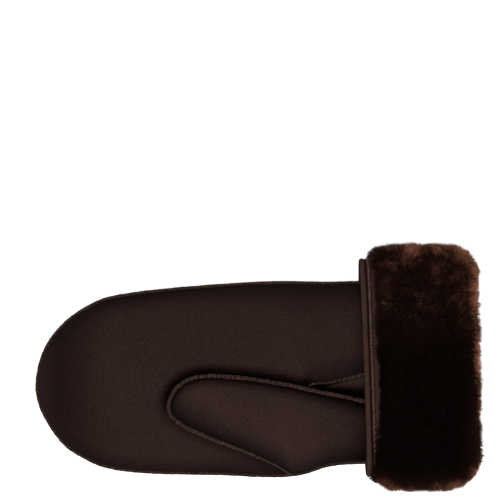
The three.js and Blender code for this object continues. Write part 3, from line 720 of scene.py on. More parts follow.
def back_panel(name, side, materials):
    """Half of the back: seam - drop (1 - |t|^2.6)^power, held at the table's level where it would pass
    it."""
    share = hand_shares()[:, None]
    s = hand_section(share)
    t = np.sin(np.linspace(0, 1, 46) * np.pi / 2)[None]
    foot = s["seam"] - JOINT_HALF

    def across(half):
        """y from the middle seam to the side seam."""
        return s["middle"] + side * (JOINT_HALF + t * np.maximum(half - JOINT_HALF, 0))

    def lift(y):
        """How far the middle seam holds the back off the table."""
        return BACK_WELT_LIFT * (1 - smooth(np.abs(y - s["middle"]), 0, BACK_WELT_SPAN))

    y = across(s["half"])
    fall = s["drop"] * arch(t, s["arch"])
    z = np.maximum(foot - fall, 0) + np.minimum(lift(y), np.minimum(fall, foot))
    skin = np.stack(np.broadcast_arrays(s["x"], y, z), -1)
    skin = relieved(skin, 23 + side, -1)
    skin[..., 2] = np.maximum(skin[..., 2], 0.05)
    inside_drop = np.maximum(np.minimum(s["drop"], foot) - HIDE_WALL, 0)
    y = across(s["half"] * (1 - 2 * SIDE_WALL / LEATHER_WIDTH))
    fall = inside_drop * arch(t, s["arch"])
    z = foot - fall + np.minimum(lift(y) * inside_drop / BACK_DROP, fall)
    inside = np.stack(np.broadcast_arrays(inside_x(s["x"]), y, z), -1)
    # The back's grain side gets painted shade, darker towards its seams and the cuff.
    return panel(name, skin, inside, materials, painted_seam_shade(skin, (0.55, 9), (0.45, 16)))


# The thumb


def thumb_shares(tip=64, root=36, wrist=26):
    """Shares of the thumb's length where it is sectioned."""
    marks = np.array([CROTCH_X - 20, PLEAT_X + 2, END_X]) - THUMB_TIP - THUMB_WELT_OUT
    marks = marks / (THUMB_LENGTH - THUMB_WELT_OUT)
    return np.concatenate(
        [
            np.linspace(0, 1, tip + 1) ** 2 * marks[0],
            np.linspace(marks[0], marks[1], root + 1)[1:],
            np.linspace(marks[1], marks[2], wrist + 1)[1:],
        ]
    )


def thumb_upper_panel(materials):
    """The thumb's vault over the palm: palm height + seam's stand-off + crown (1 - |t|^2.6)^0.72."""
    share = thumb_shares()[:, None]
    s = thumb_section(share)
    t = eased(64)[None]
    middle, half = (s["upper"] + s["lower"]) / 2, (s["upper"] - s["lower"]) / 2
    edge = lerp(s["edge_lower"], s["edge_upper"], (t + 1) / 2)
    y = middle + t * half
    z = palm_height(s["share"], y) + edge + s["crown"] * arch(t, HAND_ARCH)
    skin = np.stack(np.broadcast_arrays(s["x"], y, z), -1)
    narrow = np.maximum(half - THUMB_SIDE_WALL, half * 0.3)
    under = np.maximum(
        s["crown"] - THUMB_WALL, lerp(0, s["crown"] - THUMB_WALL, smooth(s["x"], CROTCH_X, MERGE_X))
    )
    deeper = THUMB_SIDE_WALL * (1 - smooth(share, 0, 0.4))
    y = middle + t * narrow
    z = palm_height(s["share"], y) + edge + under * arch(t, HAND_ARCH)
    inside = np.stack(np.broadcast_arrays(s["x"] + deeper, y, z), -1)
    # Painted shade: darker towards the thumb's seams, most along its lower edge, and in the cuff's shadow;
    # lighter on the thumb's top away from the cuff.
    painted_cuff_shadow = lerp(0.78, 1.1, smooth(HAND_LENGTH - skin[..., 0], -6, 46))
    painted_shading = painted_seam_shade(skin, (0.12, 34), (0.15, 13)) * painted_cuff_shadow
    return panel("thumb_leather", relieved(skin, 37, 1), inside, materials, painted_shading)


def thumb_under_panel(materials):
    """The thumb's hide against the palm: it lies on the palm to the crotch, then dips beside it into the
    pleat."""
    share = thumb_shares()[:, None]
    s = thumb_section(share)
    tucked = s["upper"] - np.minimum(THUMB_TUCK, (s["upper"] - s["lower"]) / 2)
    opened = smooth(s["x"], CROTCH_X - 26, CROTCH_X + 8)
    low = np.minimum(s["lower"] + THUMB_SIDE_WALL * 1.6 * s["slipped"], tucked)
    low = lerp(low, tucked, opened)
    cut = np.where(s["x"] < CROTCH_X, s["lower"], cut_at(s["share"]))
    high = np.maximum(s["upper"], cut - GUSSET_HALF)
    beside = np.minimum(s["upper"] + THUMB_WELT_OUT + CLEARANCE, high)
    w = np.linspace(0, 1, 41)[None]
    lying = lerp(low, high, w)
    folded = np.where(
        w < 0.4,
        lerp(tucked, s["upper"], w / 0.4),
        np.where(w < 0.6, lerp(s["upper"], beside, (w - 0.4) / 0.2), lerp(beside, high, (w - 0.6) / 0.4)),
    )
    y = lerp(lying, folded, smooth(s["x"], MERGE_X - 12, MERGE_X - 3))
    palm = palm_height(s["share"], y)
    from_seam = np.minimum(y - low, np.abs(s["upper"] - y))
    rise = SEAT_GAP + lerp(THUMB_EDGE, THUMB_WALL, smooth(from_seam, THUMB_SIDE_WALL, THUMB_SIDE_WALL * 3))
    start = s["upper"] + THUMB_WELT_OUT + CLEARANCE
    eased_dip = np.clip((y - start) / (np.maximum(high, beside + 1) - start), 0, 1)
    dip = PLEAT_DEPTH * (1 - eased_dip * eased_dip * (3 - 2 * eased_dip))
    top = palm + lerp(rise, -dip, s["pleat"])
    bottom = palm + lerp(SEAT_GAP, -dip - THUMB_WALL, s["pleat"])
    groove = smooth(y, start - 2.5, start + 0.6) * (1 - smooth(y, start + 0.6, lerp(start, high, 0.8)))
    top = top - 4.2 * s["pleat"] * groove * smooth(high - start, 1, 8)
    bottom = np.minimum(bottom, top - 1.5)
    x = np.broadcast_to(s["x"], y.shape)
    # Painted shade in the pleat: nearly black beside the thumb's seam, where the thumb's edge shades it,
    # and darker at the pleat's tipward end and along the palm's cut edge.
    painted_shading = lerp(0.04, 1.0, smooth(y, lerp(start, high, 0.22), lerp(start, high, 0.72)))
    painted_shading = painted_shading * smooth(x, PLEAT_X - 8, PLEAT_X + 12) * lerp(0.3, 1.0, smooth(high - y, 0.2, 1.4))
    skin, inside = np.stack([x, y, top], -1), np.stack([x, y, bottom], -1)
    return panel("pleat_leather", skin, inside, materials, painted_shading)


# Seams


def plan_outward(path):
    """Unit vectors to the right of a path in plan."""
    run = np.gradient(path[:, :2], axis=0)
    run /= np.maximum(np.linalg.norm(run, axis=1, keepdims=True), 1e-9)
    return np.stack([run[:, 1], -run[:, 0], np.zeros(len(run))], -1)


def flat_welt(name, edges, insides, out, thickness, material, seed):
    """Two raw hide edges that lie flat in their joint. Their rim is a half ellipse, nicked between the
    two hides."""
    outward = plan_outward(edges)
    uneven = 1 + 0.07 * waves(edges, 5, seed) + 0.05 * waves(edges, 1.9, seed + 1)
    out = np.broadcast_to(out, len(edges)) * uneven
    turn = np.linspace(-np.pi / 2, np.pi / 2, 11)
    reach = 0.55 + 0.45 * np.cos(turn) - 0.1 * np.exp(-((turn / 0.3) ** 2))
    height = np.sin(turn) * thickness / 2
    rim = edges[:, None] + outward[:, None] * (out[:, None] * reach)[..., None]
    rim[..., 2] += height
    rim[..., 0] = np.minimum(rim[..., 0], END_X)
    low, high = insides.copy(), insides.copy()
    low[:, 2] -= thickness / 2
    high[:, 2] += thickness / 2
    sections = np.concatenate([low[:, None], rim, high[:, None]], 1)
    if sections.shape[1] % 2:
        sections = np.concatenate([sections, (low[:, None] + high[:, None]) / 2], 1)
    return sweep(name, sections, material)


def outline_path(count=360):
    """Points round the hand's leather edge, and round its inner edge, evenly spaced."""
    share = np.linspace(0, 1, 700) ** 2 * END_SHARE
    s = hand_section(share)
    sides = []
    for side, order in ((1, slice(None, None, -1)), (-1, slice(1, None))):
        edge = np.stack([s["x"], s["middle"] + side * s["half"], s["seam"]], -1)[order]
        narrow = s["half"] * (1 - 2 * SIDE_WALL / LEATHER_WIDTH)
        inner = np.stack([inside_x(s["x"]), s["middle"] + side * narrow, s["seam"]], -1)[order]
        sides.append((edge, inner))
    edge, inner = (np.concatenate([sides[0][i], sides[1][i]]) for i in (0, 1))
    return resample(edge, count, inner)


def resample(path, count, *others):
    """Points at even distances along a path, and the matching points of paths beside it."""
    step = np.linalg.norm(np.diff(path, axis=0), axis=1)
    arc = np.concatenate([[0], np.cumsum(step)])
    at = np.linspace(0, arc[-1], count)
    return [np.stack([np.interp(at, arc, line[:, k]) for k in range(3)], -1) for line in (path, *others)]


def thumb_welt_path(count=300):
    """The thumb's seam from the wrist along its upper edge, round the tip and back to the crotch, with the
    welt's inner edge and how far it stands out."""
    share = np.linspace(0, 1, 500) ** 2 * thumb_shares()[-1]
    s = thumb_section(share)
    half = THUMB_WELT / 2

    def line(y, inward, height):
        """The seam's outer and inner edge at y, over the palm."""
        tipward = THUMB_EDGE * (1 - smooth(s["x"], THUMB_TIP, THUMB_TIP + 8))
        edge = np.stack([s["x"], y, palm_height(s["share"], y) + height], -1)
        inner = np.stack([s["x"] + tipward, y - inward, palm_height(s["share"], y - inward) + height], -1)
        return edge, inner

    upper = line(s["upper"], THUMB_EDGE * smooth(share, 0, 0.02), s["seat_upper"] + CLEARANCE + half)
    seat = CLEARANCE + lerp(SEAT_RISE, 0, s["settled"])
    lower = line(s["lower"], -lerp(THUMB_EDGE, -CLEARANCE, s["slipped"]), seat + half)
    kept = s["x"] < CROTCH_X + 1
    kept[0] = False
    edge, inner = (np.concatenate([upper[i][::-1], lower[i][kept]]) for i in (0, 1))
    edge, inner = resample(edge, count, inner)
    lower_side = 1 - smooth(plan_outward(edge)[:, 1], -0.6, 0.1)
    narrowed = 0.55 * lower_side * smooth(edge[:, 0], THUMB_TIP + 30, CROTCH_X - 4)
    return edge, inner, THUMB_WELT_OUT * (1 - narrowed)


def standing_welt(name, path, depth, out, thickness, material, seed, down=False):
    """Two raw edges that stand out of a joint, their top a half ellipse nicked between the hides. Below
    the back they widen towards the root, so that the joint is closed."""
    turn = np.linspace(0, np.pi, 11)
    reach = 0.5 + 0.5 * np.sin(turn) - 0.1 * np.exp(-(((turn - np.pi / 2) / 0.3) ** 2))
    out = out * (1 + 0.08 * waves(path, 5, seed) + 0.06 * waves(path, 1.9, seed + 1))
    sign = -1 if down else 1
    y = path[:, 1:2] + np.cos(turn)[None] * thickness / 2
    z = path[:, 2:3] + sign * out[:, None] * reach[None]
    top = np.stack([np.broadcast_to(path[:, :1], y.shape), y, z], -1)
    ends = []
    root = thickness / 2 + (0.4 if down else 0)
    sunk = np.array([0, 0, sign]) * np.asarray(depth)[:, None]
    for edge in (-1, 0, 1):
        ends.append(path + np.array([0, edge * root, 0]) - sunk)
    base = np.stack(ends, 1)
    return sweep(name, np.concatenate([top, base], 1), material)


def back_seam_path(count=300):
    """The back's middle seam on its leather, and how deep the welt goes into the joint."""
    share = hand_shares()[6:]
    s = hand_section(share)
    foot = s["seam"] - JOINT_HALF
    skin = np.maximum(foot - s["drop"], 0) + np.minimum(BACK_WELT_LIFT, np.minimum(s["drop"], foot))
    path = np.stack([s["x"], s["middle"], skin], -1)
    depth = np.minimum(HIDE_WALL, np.maximum(foot - CLEARANCE - skin, 0.2))
    path, depth = resample(path, count, np.stack([depth] * 3, -1))
    return path, depth[:, 0]


def gusset_path(count=90):
    """The short seam along the palm's cut edge, from the pleat's start to the wrist."""
    share = np.linspace(GUSSET_SHARE, END_SHARE, 200)
    y = cut_at(share)
    return resample(np.stack([hand_x(share), y, palm_height(share, y)], -1), count)[0]


# Stitches


def wraps(path, outward, across, reach, half, slant, pitch, radius, arc=0.62, seed=0):
    """Overcast threads: each is a tube bent over the welt, reach cos(a) outward and half sin(a) across
    it, while it runs slant sin(a) along the seam. Returns points and quads of one joined mesh."""
    run = np.gradient(path, axis=0)
    run /= np.linalg.norm(run, axis=1, keepdims=True)
    length = np.linalg.norm(np.diff(path, axis=0), axis=1).sum()
    count = int(length / pitch)
    rng = np.random.default_rng(seed)
    place = (np.arange(count) + 0.5 + rng.uniform(-0.25, 0.25, count)) / count * (len(path) - 1)

    def at(values):
        """Values of the path's points, or one value, read at each stitch."""
        values = np.asarray(values, float)
        if values.ndim == 0:
            values = np.full(len(path), values)
        if values.ndim == 1:
            return np.interp(place, np.arange(len(path)), values)[:, None]
        return np.stack([np.interp(place, np.arange(len(path)), values[:, k]) for k in range(3)], -1)

    centre, along_way, out_way, cross_way = at(path), at(run), at(outward), at(across)
    reach, half = at(reach), at(half)
    reach = reach * (1 + rng.uniform(-0.08, 0.12, (count, 1)))
    slant = slant * (1 + rng.uniform(-0.2, 0.2, (count, 1)))
    rings, sides = 9, 6
    a = np.linspace(-np.pi * arc, np.pi * arc, rings)
    radial = out_way[:, None] * np.cos(a)[None, :, None] + cross_way[:, None] * np.sin(a)[None, :, None]
    line = (
        centre[:, None]
        + out_way[:, None] * (reach[:, None] * np.cos(a)[None, :, None])
        + cross_way[:, None] * (half[:, None] * np.sin(a)[None, :, None])
        + along_way[:, None] * (slant[:, None] * np.sin(a)[None, :, None])
    )
    thick = radius * np.sqrt(np.clip(1 - np.linspace(-1, 1, rings) ** 8, 0.02, 1))
    turn = np.arange(sides) * 2 * np.pi / sides
    points = line[:, :, None] + thick[None, :, None, None] * (
        np.cos(turn)[None, None, :, None] * radial[:, :, None]
        + np.sin(turn)[None, None, :, None] * along_way[:, None, None]
    )
    one = grid_faces(rings, sides, loop_columns=True)
    faces = (one[None] + (np.arange(count) * rings * sides)[:, None, None]).reshape(-1, 4)
    return points.reshape(-1, 3), faces


def running_stitches(path, up, pitch, length, width, height, seed, skew=0.0, phase=0.5):
    """A row of short threads laid along a path, each an ellipsoid, slightly uneven."""
    total = np.linalg.norm(np.diff(path, axis=0), axis=1).sum()
    count = int(total / pitch)
    rng = np.random.default_rng(seed)
    place = (np.arange(count) + phase) / count * (len(path) - 1)
    run = np.gradient(path, axis=0)
    run /= np.linalg.norm(run, axis=1, keepdims=True)

    def at(values):
        """Values of the path's points, read at each stitch."""
        return np.stack([np.interp(place, np.arange(len(path)), values[:, k]) for k in range(3)], -1)

    centre, ahead, over = at(path), at(run), at(np.broadcast_to(up, path.shape))
    side = np.cross(over, ahead)
    turn = skew + rng.uniform(-0.08, 0.08, (count, 1))
    ahead = ahead * np.cos(turn) + side * np.sin(turn)
    side = np.cross(over, ahead)
    return beads(centre, ahead, side, over, length * rng.uniform(0.92, 1.05, count), width, height)


def joined(pieces):
    """Several point and face lists as one."""
    points, faces, start = [], [], 0
    for one_points, one_faces in pieces:
        points.append(one_points)
        faces.append(one_faces + start)
        start += len(one_points)
    return np.concatenate(points), np.concatenate(faces)


# The cuff

PIPING_RUN = (PIPING + CLEARANCE) / CUFF_LENGTH
LINING_START = (PANEL_END + CLEARANCE) / CUFF_LENGTH
RING_POINTS = 620
PIPING_POINTS = 22
# Where the mouth's fold lies along the cuff, where the thumb side's edge lies across it, and where the wool
# starts
FOLD_ALONG = (258, 291)
EDGE_ACROSS = (46, 84)
WOOL_START = (218, 231)
# The fold of the turned-back skin at the mouth: run, gap and place across its thickness
SKIN_FOLD = np.array(
    [
        (0.8, 0, 0), (0.855, 0.08, 0.1), (0.885, 0.28, 0.3), (0.895, 0.5, 0.5), (0.885, 0.72, 0.7),
        (0.855, 0.92, 0.9), (0.8, 1, 1),
    ]
)


def ring_angles(count):
    """Angles whose points lie at even distances round the cuff's edge."""
    turn = np.linspace(0, 2 * np.pi, 4001)
    line = cuff_point(0.2, turn, 1.0, 0.0)
    arc = np.concatenate([[0], np.cumsum(np.linalg.norm(np.diff(line, axis=0), axis=1))])
    return np.interp(np.arange(count) / count * arc[-1], arc, turn)


def finer(rows, times):
    """Rows of numbers with even steps put between them."""
    rows = np.asarray(rows, float)
    at = np.linspace(0, len(rows) - 1, (len(rows) - 1) * times + 1)
    return np.stack([np.interp(at, np.arange(len(rows)), rows[:, k]) for k in range(rows.shape[1])], -1)


def cuff_rings(rows, count):
    """Sections of a ring of the cuff, one for each angle: rows of run, gap, offset and spread."""
    rows = np.asarray(rows, float)
    if rows.shape[1] == 3:
        rows = np.concatenate([rows, np.zeros((len(rows), 1))], 1)
    angle = ring_angles(count)[:, None]
    return cuff_point(rows[None, :, 0], angle, rows[None, :, 1], rows[None, :, 2], rows[None, :, 3])


def drawn_in(points):
    """How far the cuff is drawn in along x and y: a little at the mouth, most at the thumb side's
    corners."""
    x, y = points[..., 0], points[..., 1]
    edge = smooth(-y, *EDGE_ACROSS)
    mouth = smooth(x, *FOLD_ALONG) * (1 - smooth(y, 52, 70))
    back = mouth * (lerp(1.7, 2.6, smooth(-y, 0, 60)) + 2.4 * edge)
    over = edge * (0.3 + 2.0 * mouth + 3.2 * (1 - smooth(x, *WOOL_START)))
    return np.stack([-back, over, np.zeros_like(back)], -1)


def hide_drawn_in(points):
    """The same for the hide, which stays where it is under the piping and the facing."""
    return drawn_in(points) * smooth(points[..., :1], 231, 250)


def cuff_turnback(material):
    """The hide of the cuff: down the wrist's inside, round the mouth's fold and back up to the piping."""
    fold = finer(SKIN_FOLD, 3)
    inner = [(LINING_START, 0, -CUFF_SKIN)]
    inner += [(run, gap, lerp(-CUFF_SKIN, 0, off)) for run, gap, off in fold]
    inner += [(lerp(0.8, PIPING_RUN, t), 1, 0) for t in np.linspace(0.1, 1, 10)]
    inner += [(PIPING_RUN, 1, -CUFF_SKIN)]
    inner += [(lerp(PIPING_RUN, 0.78, t), 1, -CUFF_SKIN) for t in np.linspace(0.1, 0.9, 9)]
    inner += [
        (run - CUFF_SKIN / CUFF_LENGTH, gap, lerp(0, -CUFF_SKIN, off)) for run, gap, off in fold[::-1]
    ]
    inner += [(LINING_START, 0, 0)]
    sections = cuff_rings(inner, 360)
    sections = sections + hide_drawn_in(sections)
    return sweep("cuff_hide", sections, material, looped=True)


def cuff_piping(material):
    """A roll of smooth leather round the cuff's edge: a circle of half the piping's width, gathered a
    little."""
    turn = np.arange(PIPING_POINTS) * 2 * np.pi / PIPING_POINTS
    radius = PIPING / 2
    rows = np.stack(
        [
            radius * (1 + np.cos(turn)) / CUFF_LENGTH,
            np.ones(PIPING_POINTS),
            radius * np.sin(turn) - CUFF_SKIN / 2 + CLEARANCE,
        ],
        -1,
    )
    ring = cuff_rings(rows, RING_POINTS)
    centre = ring.mean(1, keepdims=True)
    swell = 1 + 0.05 * waves(centre[:, 0], 24, 71) + 0.02 * waves(centre[:, 0], 6, 72)
    ring = centre + (ring - centre) * swell[:, None, None]
    ring[..., 2] = np.maximum(ring[..., 2], 0.02)
    # Painted light and shade on the roll: lighter on its top, darker on its underside.
    painted_shading = np.tile(0.5 + 0.65 * smooth(np.sin(turn), -0.1, 0.9), (len(ring), 1))
    return sweep("piping_leather", ring, material, looped=True, attributes={"painted_shading": painted_shading.ravel()})


# The facing's section: distance from the piping, rise in shares of its thickness, and tone, which is
# painted shade: dark in the sunk stitched channel beside the piping, lighter on the raised strip
FACING = {
    "across": (-1.0, 0.2, 0.5, 0.9, 1.35, 1.8, 2.2, 2.6, 3.1, 3.9, 4.8, 6.0, FACING_WIDTH),
    "rise": (0.45, 0.56, 0.6, 0.6, 0.6, 0.6, 0.62, 0.95, 1.08, 1.1, 1.08, 1.02, 0.9),
    "tone": (0.2, 0.28, 0.34, 0.36, 0.34, 0.3, 0.26, 0.7, 0.95, 0.95, 0.9, 0.85, 0.7),
}


def cuff_facing(material):
    """A flat leather strip between the piping and the wool, its edges turned under, its two stitched
    rows sunk."""
    across = FACING["across"]
    rows = [
        (PIPING_RUN + place / CUFF_LENGTH, 1, CLEARANCE + FACING_THICKNESS * rise)
        for place, rise in zip(across, FACING["rise"])
    ]
    rows += [(PIPING_RUN + place / CUFF_LENGTH, 1, CLEARANCE * 0.6) for place in across[::-1]]
    # The tone column gives the facing painted shade.
    painted_shading = np.tile(np.concatenate([FACING["tone"], FACING["tone"][::-1]]), (RING_POINTS, 1))
    rings = cuff_rings(rows, RING_POINTS)
    return sweep("facing_leather", rings, material, looped=True, attributes={"painted_shading": painted_shading.ravel()})


def facing_line(across, off, count=700):
    """A line round the cuff on the facing, at a distance from the piping."""
    row = [(PIPING_RUN + across / CUFF_LENGTH, 1, CLEARANCE + off)]
    line = cuff_rings(row, count)[:, 0]
    return np.concatenate([line, line[:1]])


def cuff_outward(line):
    """Unit vectors out from the cuff's edge along a ring, square to the ring in its own plane."""
    run = np.gradient(line, axis=0)
    out = np.cross(run, (1.0, 0.0, 0.0))
    out /= np.maximum(np.linalg.norm(out, axis=1, keepdims=True), 1e-9)
    middle = line.mean(0)
    flip = np.sign(((line - middle) * out).sum(1, keepdims=True))
    return out * flip


# The wool

# How deep the dense base and the strands' roots lie, in shares of the pile
BASE_SHARE = 0.62
ROOT_SHARE = 0.42
# The outline of the wool that its lit rim follows: the mouth's x on the axis, half its width, and the
# corners' radius
RIM_X = 289.5
RIM_Y = 81.5
RIM_CORNER = 13


def wool_rows(times, depth):
    """The wool's outer and skin rows, and the outer ones brought down to a share of the pile."""
    table = finer(np.stack([FLEECE[key] for key in FLEECE], -1), times)
    run, gap, pile, lining, spread, skin_run, skin_gap, skin_off = table.T
    outer = np.stack([run, gap, pile * PILE - lining * HIDE_WALL, spread], -1)
    skin = np.stack([skin_run, skin_gap, skin_off, np.zeros_like(run)], -1)
    return outer, skin, lerp(skin, outer, depth)


def wool_base(material):
    """The dense wool under the tips: the pile's form at a share of its depth, dimpled like packed curls."""
    _, _, rows = wool_rows(5, BASE_SHARE)
    outside = len(rows)
    back = [(LINING_START, 0, -CUFF_SKIN - CLEARANCE, 0)]
    back += [
        (run + CLEARANCE / CUFF_LENGTH, gap, lerp(-CUFF_SKIN - CLEARANCE, CLEARANCE, off), 0)
        for run, gap, off in SKIN_FOLD
    ]
    sections = cuff_rings(np.concatenate([rows, back]), 560)
    skin = sections[:, :outside]
    lump = 0.45 * waves(skin, 7, 81) + 0.3 * waves(skin, 3.2, 82)
    facing = normals(skin)
    centre = skin.mean((0, 1))
    sign = np.sign((facing[:, 30] * (skin[:, 30] - centre)).sum(-1).mean())
    corner = smooth(-skin[..., 1], 48, 78) * smooth(skin[..., 0], 256, 284)
    skin = skin + facing * (sign * (lump - 2.6 * corner))[..., None]
    skin[..., 2] = np.maximum(skin[..., 2], 0.05)
    sections[:, :outside] = skin + drawn_in(skin)
    sections[:, outside:] += hide_drawn_in(sections[:, outside:])
    # The base takes the colour near the strands' dark roots: painted shade deep in the pile.
    shade = np.full(sections.shape[:2], 0.02)
    return sweep("wool_base", sections, material, looped=True, attributes={"shade": shade.ravel()})


def nearest(points, centres, chunk=6000):
    """Which centre is nearest to each point."""
    found = []
    size = (centres**2).sum(1)
    for start in range(0, len(points), chunk):
        part = points[start : start + chunk]
        found.append(np.argmin(size[None] - 2 * part @ centres.T, axis=1))
    return np.concatenate(found)


def wool_places(count, seed):
    """Random places on the wool, as many for an equal area, but fewer below and inside: the root, the
    tip, the outward direction of each, and how far inside the mouth it is."""
    outer_rows, skin_rows, _ = wool_rows(6, 1.0)
    outer = cuff_rings(outer_rows, 480)
    skin = cuff_rings(skin_rows, 480)
    outer = np.concatenate([outer, outer[:1]])
    skin = np.concatenate([skin, skin[:1]])
    out = normals(outer)
    growth = outer - skin
    reach = np.linalg.norm(growth, axis=-1, keepdims=True)
    if (out * growth).sum() < 0:
        out = -out
    growth = np.where(reach > 0.8, growth / np.maximum(reach, 1e-6), out)
    growth = growth + 0.8 * out
    growth /= np.linalg.norm(growth, axis=-1, keepdims=True)
    a, b = outer[1:, :-1] - outer[:-1, :-1], outer[:-1, 1:] - outer[:-1, :-1]
    area = np.linalg.norm(np.cross(a, b), axis=-1)
    row = np.linspace(0, 1, outer.shape[1])
    inside = row[None, :-1] > 0.86
    under = out[:-1, :-1, 2] < -0.35
    weight = area * np.where(inside, 0.32, np.where(under, 0.3, 1.0))
    rng = np.random.default_rng(seed)
    cell = np.searchsorted(np.cumsum(weight.ravel()) / weight.sum(), rng.random(count))
    i, j = np.unravel_index(np.minimum(cell, weight.size - 1), weight.shape)
    u, v = rng.random((2, count, 1))

    def at(grid):
        """A grid's values at the random places."""
        return lerp(lerp(grid[i, j], grid[i + 1, j], u), lerp(grid[i, j + 1], grid[i + 1, j + 1], u), v)

    return at(skin), at(outer), at(growth), at(out), smooth(row[j], 0.78, 0.95), rng


def strand_tips(skin, outer, growth, out, centres, own, rng):
    """Where the strands end: out by the pile, uneven by chance and by clump, leaning with the nap, spilt
    a little over the facing, and drawn towards the middle of their clump."""
    count = len(outer)
    x, y = outer[:, 0], outer[:, 1]
    long = np.linalg.norm(outer - skin, axis=1, keepdims=True)
    stand = np.clip(rng.normal(0.4, 0.5, (count, 1)), -0.6, 1.9) + 0.5 * waves(outer, 9, 91)[:, None]
    stand = stand + rng.normal(0, 0.7, len(centres))[own][:, None] * smooth(outer[:, :1], 262, 286)
    stand = stand * np.clip(long / 6, 0.35, 1)
    lean = [waves(outer, 30, 92) + 0.6, waves(outer, 26, 93) - 0.6, 0.6 * waves(outer, 30, 94)]
    nap = np.stack(lean, -1) * 1.9
    spill = (1 - smooth(x, 226, 238)) * (1 - smooth(np.abs(y + 6), 40, 72))
    nap[:, 0] -= spill * (4.2 + 1.3 * waves(outer, 22, 97))
    nap -= out * (nap * out).sum(1, keepdims=True)
    tip = outer + growth * stand + nap + drawn_in(outer)
    held = smooth(86 - y, 4, 16) * smooth(y + 81.5, 8, 22)
    tip[:, 0] -= 2.4 * (1 - smooth(x, 226, 240)) * held
    pull = (centres[own] - outer) * rng.uniform(0.15, 0.62, (count, 1))
    tip = tip + pull - out * 0.25 * np.linalg.norm(pull, axis=1, keepdims=True)
    tip += rng.normal(0, 0.3, (count, 3))
    tip[:, 2] = np.where(tip[:, 2] < 0.12, 0.12 + rng.random(count) * 0.5, tip[:, 2])
    return tip


def spikes(root, tip, rng):
    """Points and triangles of thin spikes: each has two rings of three points and a tip, and bends aside as
    s (1 - s) with its share s of the way."""
    count = len(root)
    steps = np.array([0.0, 0.6])
    ahead = tip - root
    side = np.cross(ahead, rng.normal(size=(count, 3)))
    side /= np.maximum(np.linalg.norm(side, axis=1, keepdims=True), 1e-9)
    up = np.cross(ahead, side)
    up /= np.maximum(np.linalg.norm(up, axis=1, keepdims=True), 1e-9)
    bend = side * rng.normal(0, 0.6, (count, 1))
    line = root[:, None] + ahead[:, None] * steps[None, :, None]
    line = line + bend[:, None] * (steps * (1 - steps))[None, :, None]
    thick = np.array([0.17, 0.13])[None] * rng.uniform(0.8, 1.3, (count, 1))
    turn = np.arange(3) * 2 * np.pi / 3
    ring = np.cos(turn)[None, :, None] * side[:, None] + np.sin(turn)[None, :, None] * up[:, None]
    rings = line[:, :, None] + ring[:, None] * thick[..., None, None]
    points = np.concatenate([rings.reshape(count, 6, 3), tip[:, None]], 1)
    quads = grid_faces(2, 3, loop_columns=True)
    ends = [[3, 4, 6], [4, 5, 6], [5, 3, 6], [2, 1, 0]]
    triangles = np.concatenate([quads[:, [0, 1, 2]], quads[:, [0, 2, 3]], ends])
    faces = (triangles[None] + (np.arange(count) * 7)[:, None, None]).reshape(-1, 3)
    return points.reshape(-1, 3), faces


def strand_light(outer, out, within, own, clumps, rng):
    """Painted light on each strand's tip, from 0 to 1, and how far it is in the rim: a painted rim light
    fades inward from the wool's outline as exp(-(d / 8)^1.5), darker on the underside; the little finger's
    side is painted lighter as if lit from there, the wool inside the mouth is painted lighter than its
    shade, and clumps differ at random."""
    drift = outer + 2.4 * np.stack([waves(outer, 34, 96), waves(outer, 30, 98), np.zeros(len(outer))], -1)
    thumb_side = 1 - smooth(drift[:, 1], -10, 40)
    ahead = RIM_X - CUFF_SLANT * drift[:, 1] - drift[:, 0]
    beside = RIM_Y - np.abs(drift[:, 1])
    round_off = RIM_CORNER - np.hypot(RIM_CORNER - ahead, RIM_CORNER - beside)
    inward = np.where(np.maximum(ahead, beside) > RIM_CORNER, np.minimum(ahead, beside), round_off)
    ends = smooth(outer[:, 0], 262, 284) + 1 - smooth(outer[:, 0], 226, 242)
    corner = ends * smooth(-outer[:, 1], 50, 76)
    inward = np.maximum(inward - 3.6 * corner, 0)
    below = np.exp(-((np.minimum(out[:, 2] - 0.15, 0) / lerp(0.42, 1.0, corner)) ** 2))
    rim = np.exp(-((inward / lerp(8.0, 7.5, thumb_side)) ** 1.5)) * below
    rim = rim * lerp(lerp(0.25, 0.75, thumb_side), 1.0, smooth(drift[:, 0], 226, 256))
    lit = 0.54 * smooth(drift[:, 1], 6, 42)
    lit = lit + (0.98 - lit) * rim
    lit = np.maximum(lit, 0.72 * within)
    uneven = 0.12 * waves(outer, 14, 95) + 0.14 * rng.normal(size=clumps)[own]
    return lit * (1 + uneven + rng.normal(0, 0.1, len(outer))), rim


def wool_strands(name, count, clumps, seed, material):
    """Bare strands of wool: thin spikes from inside the pile to its surface, with painted shade dark at the
    root and painted light at the tip.
    """
    skin, outer, growth, out, within, rng = wool_places(count, seed)
    out /= np.maximum(np.linalg.norm(out, axis=1, keepdims=True), 1e-9)
    centres = outer[rng.choice(count, clumps, replace=False)]
    own = nearest(outer, centres)
    tip = strand_tips(skin, outer, growth, out, centres, own, rng)
    root = lerp(skin, outer, ROOT_SHARE)
    root += drawn_in(root)
    root[:, 2] = np.maximum(root[:, 2], 0.3)
    points, faces = spikes(root, tip, rng)
    lit, rim = strand_light(outer, out, within, own, clumps, rng)
    # Painted shade along each strand: darkest at the root, deep in the pile; rim strands stay lighter
    # further down.
    step = np.array([0.15, 0.15, 0.15, 0.68, 0.68, 0.68, 1.0])
    shade = np.clip(lit[:, None] * step[None] ** (1 - 0.75 * rim[:, None]), 0, 1)
    return build(name, points, faces, material, attributes={"shade": shade.ravel()})


# Settings


def colour(name, description, value):
    """A colour setting."""
    return FloatVectorProperty(
        name=name, description=description, default=value, size=3, min=0.0, max=1.0, subtype="COLOR"
    )


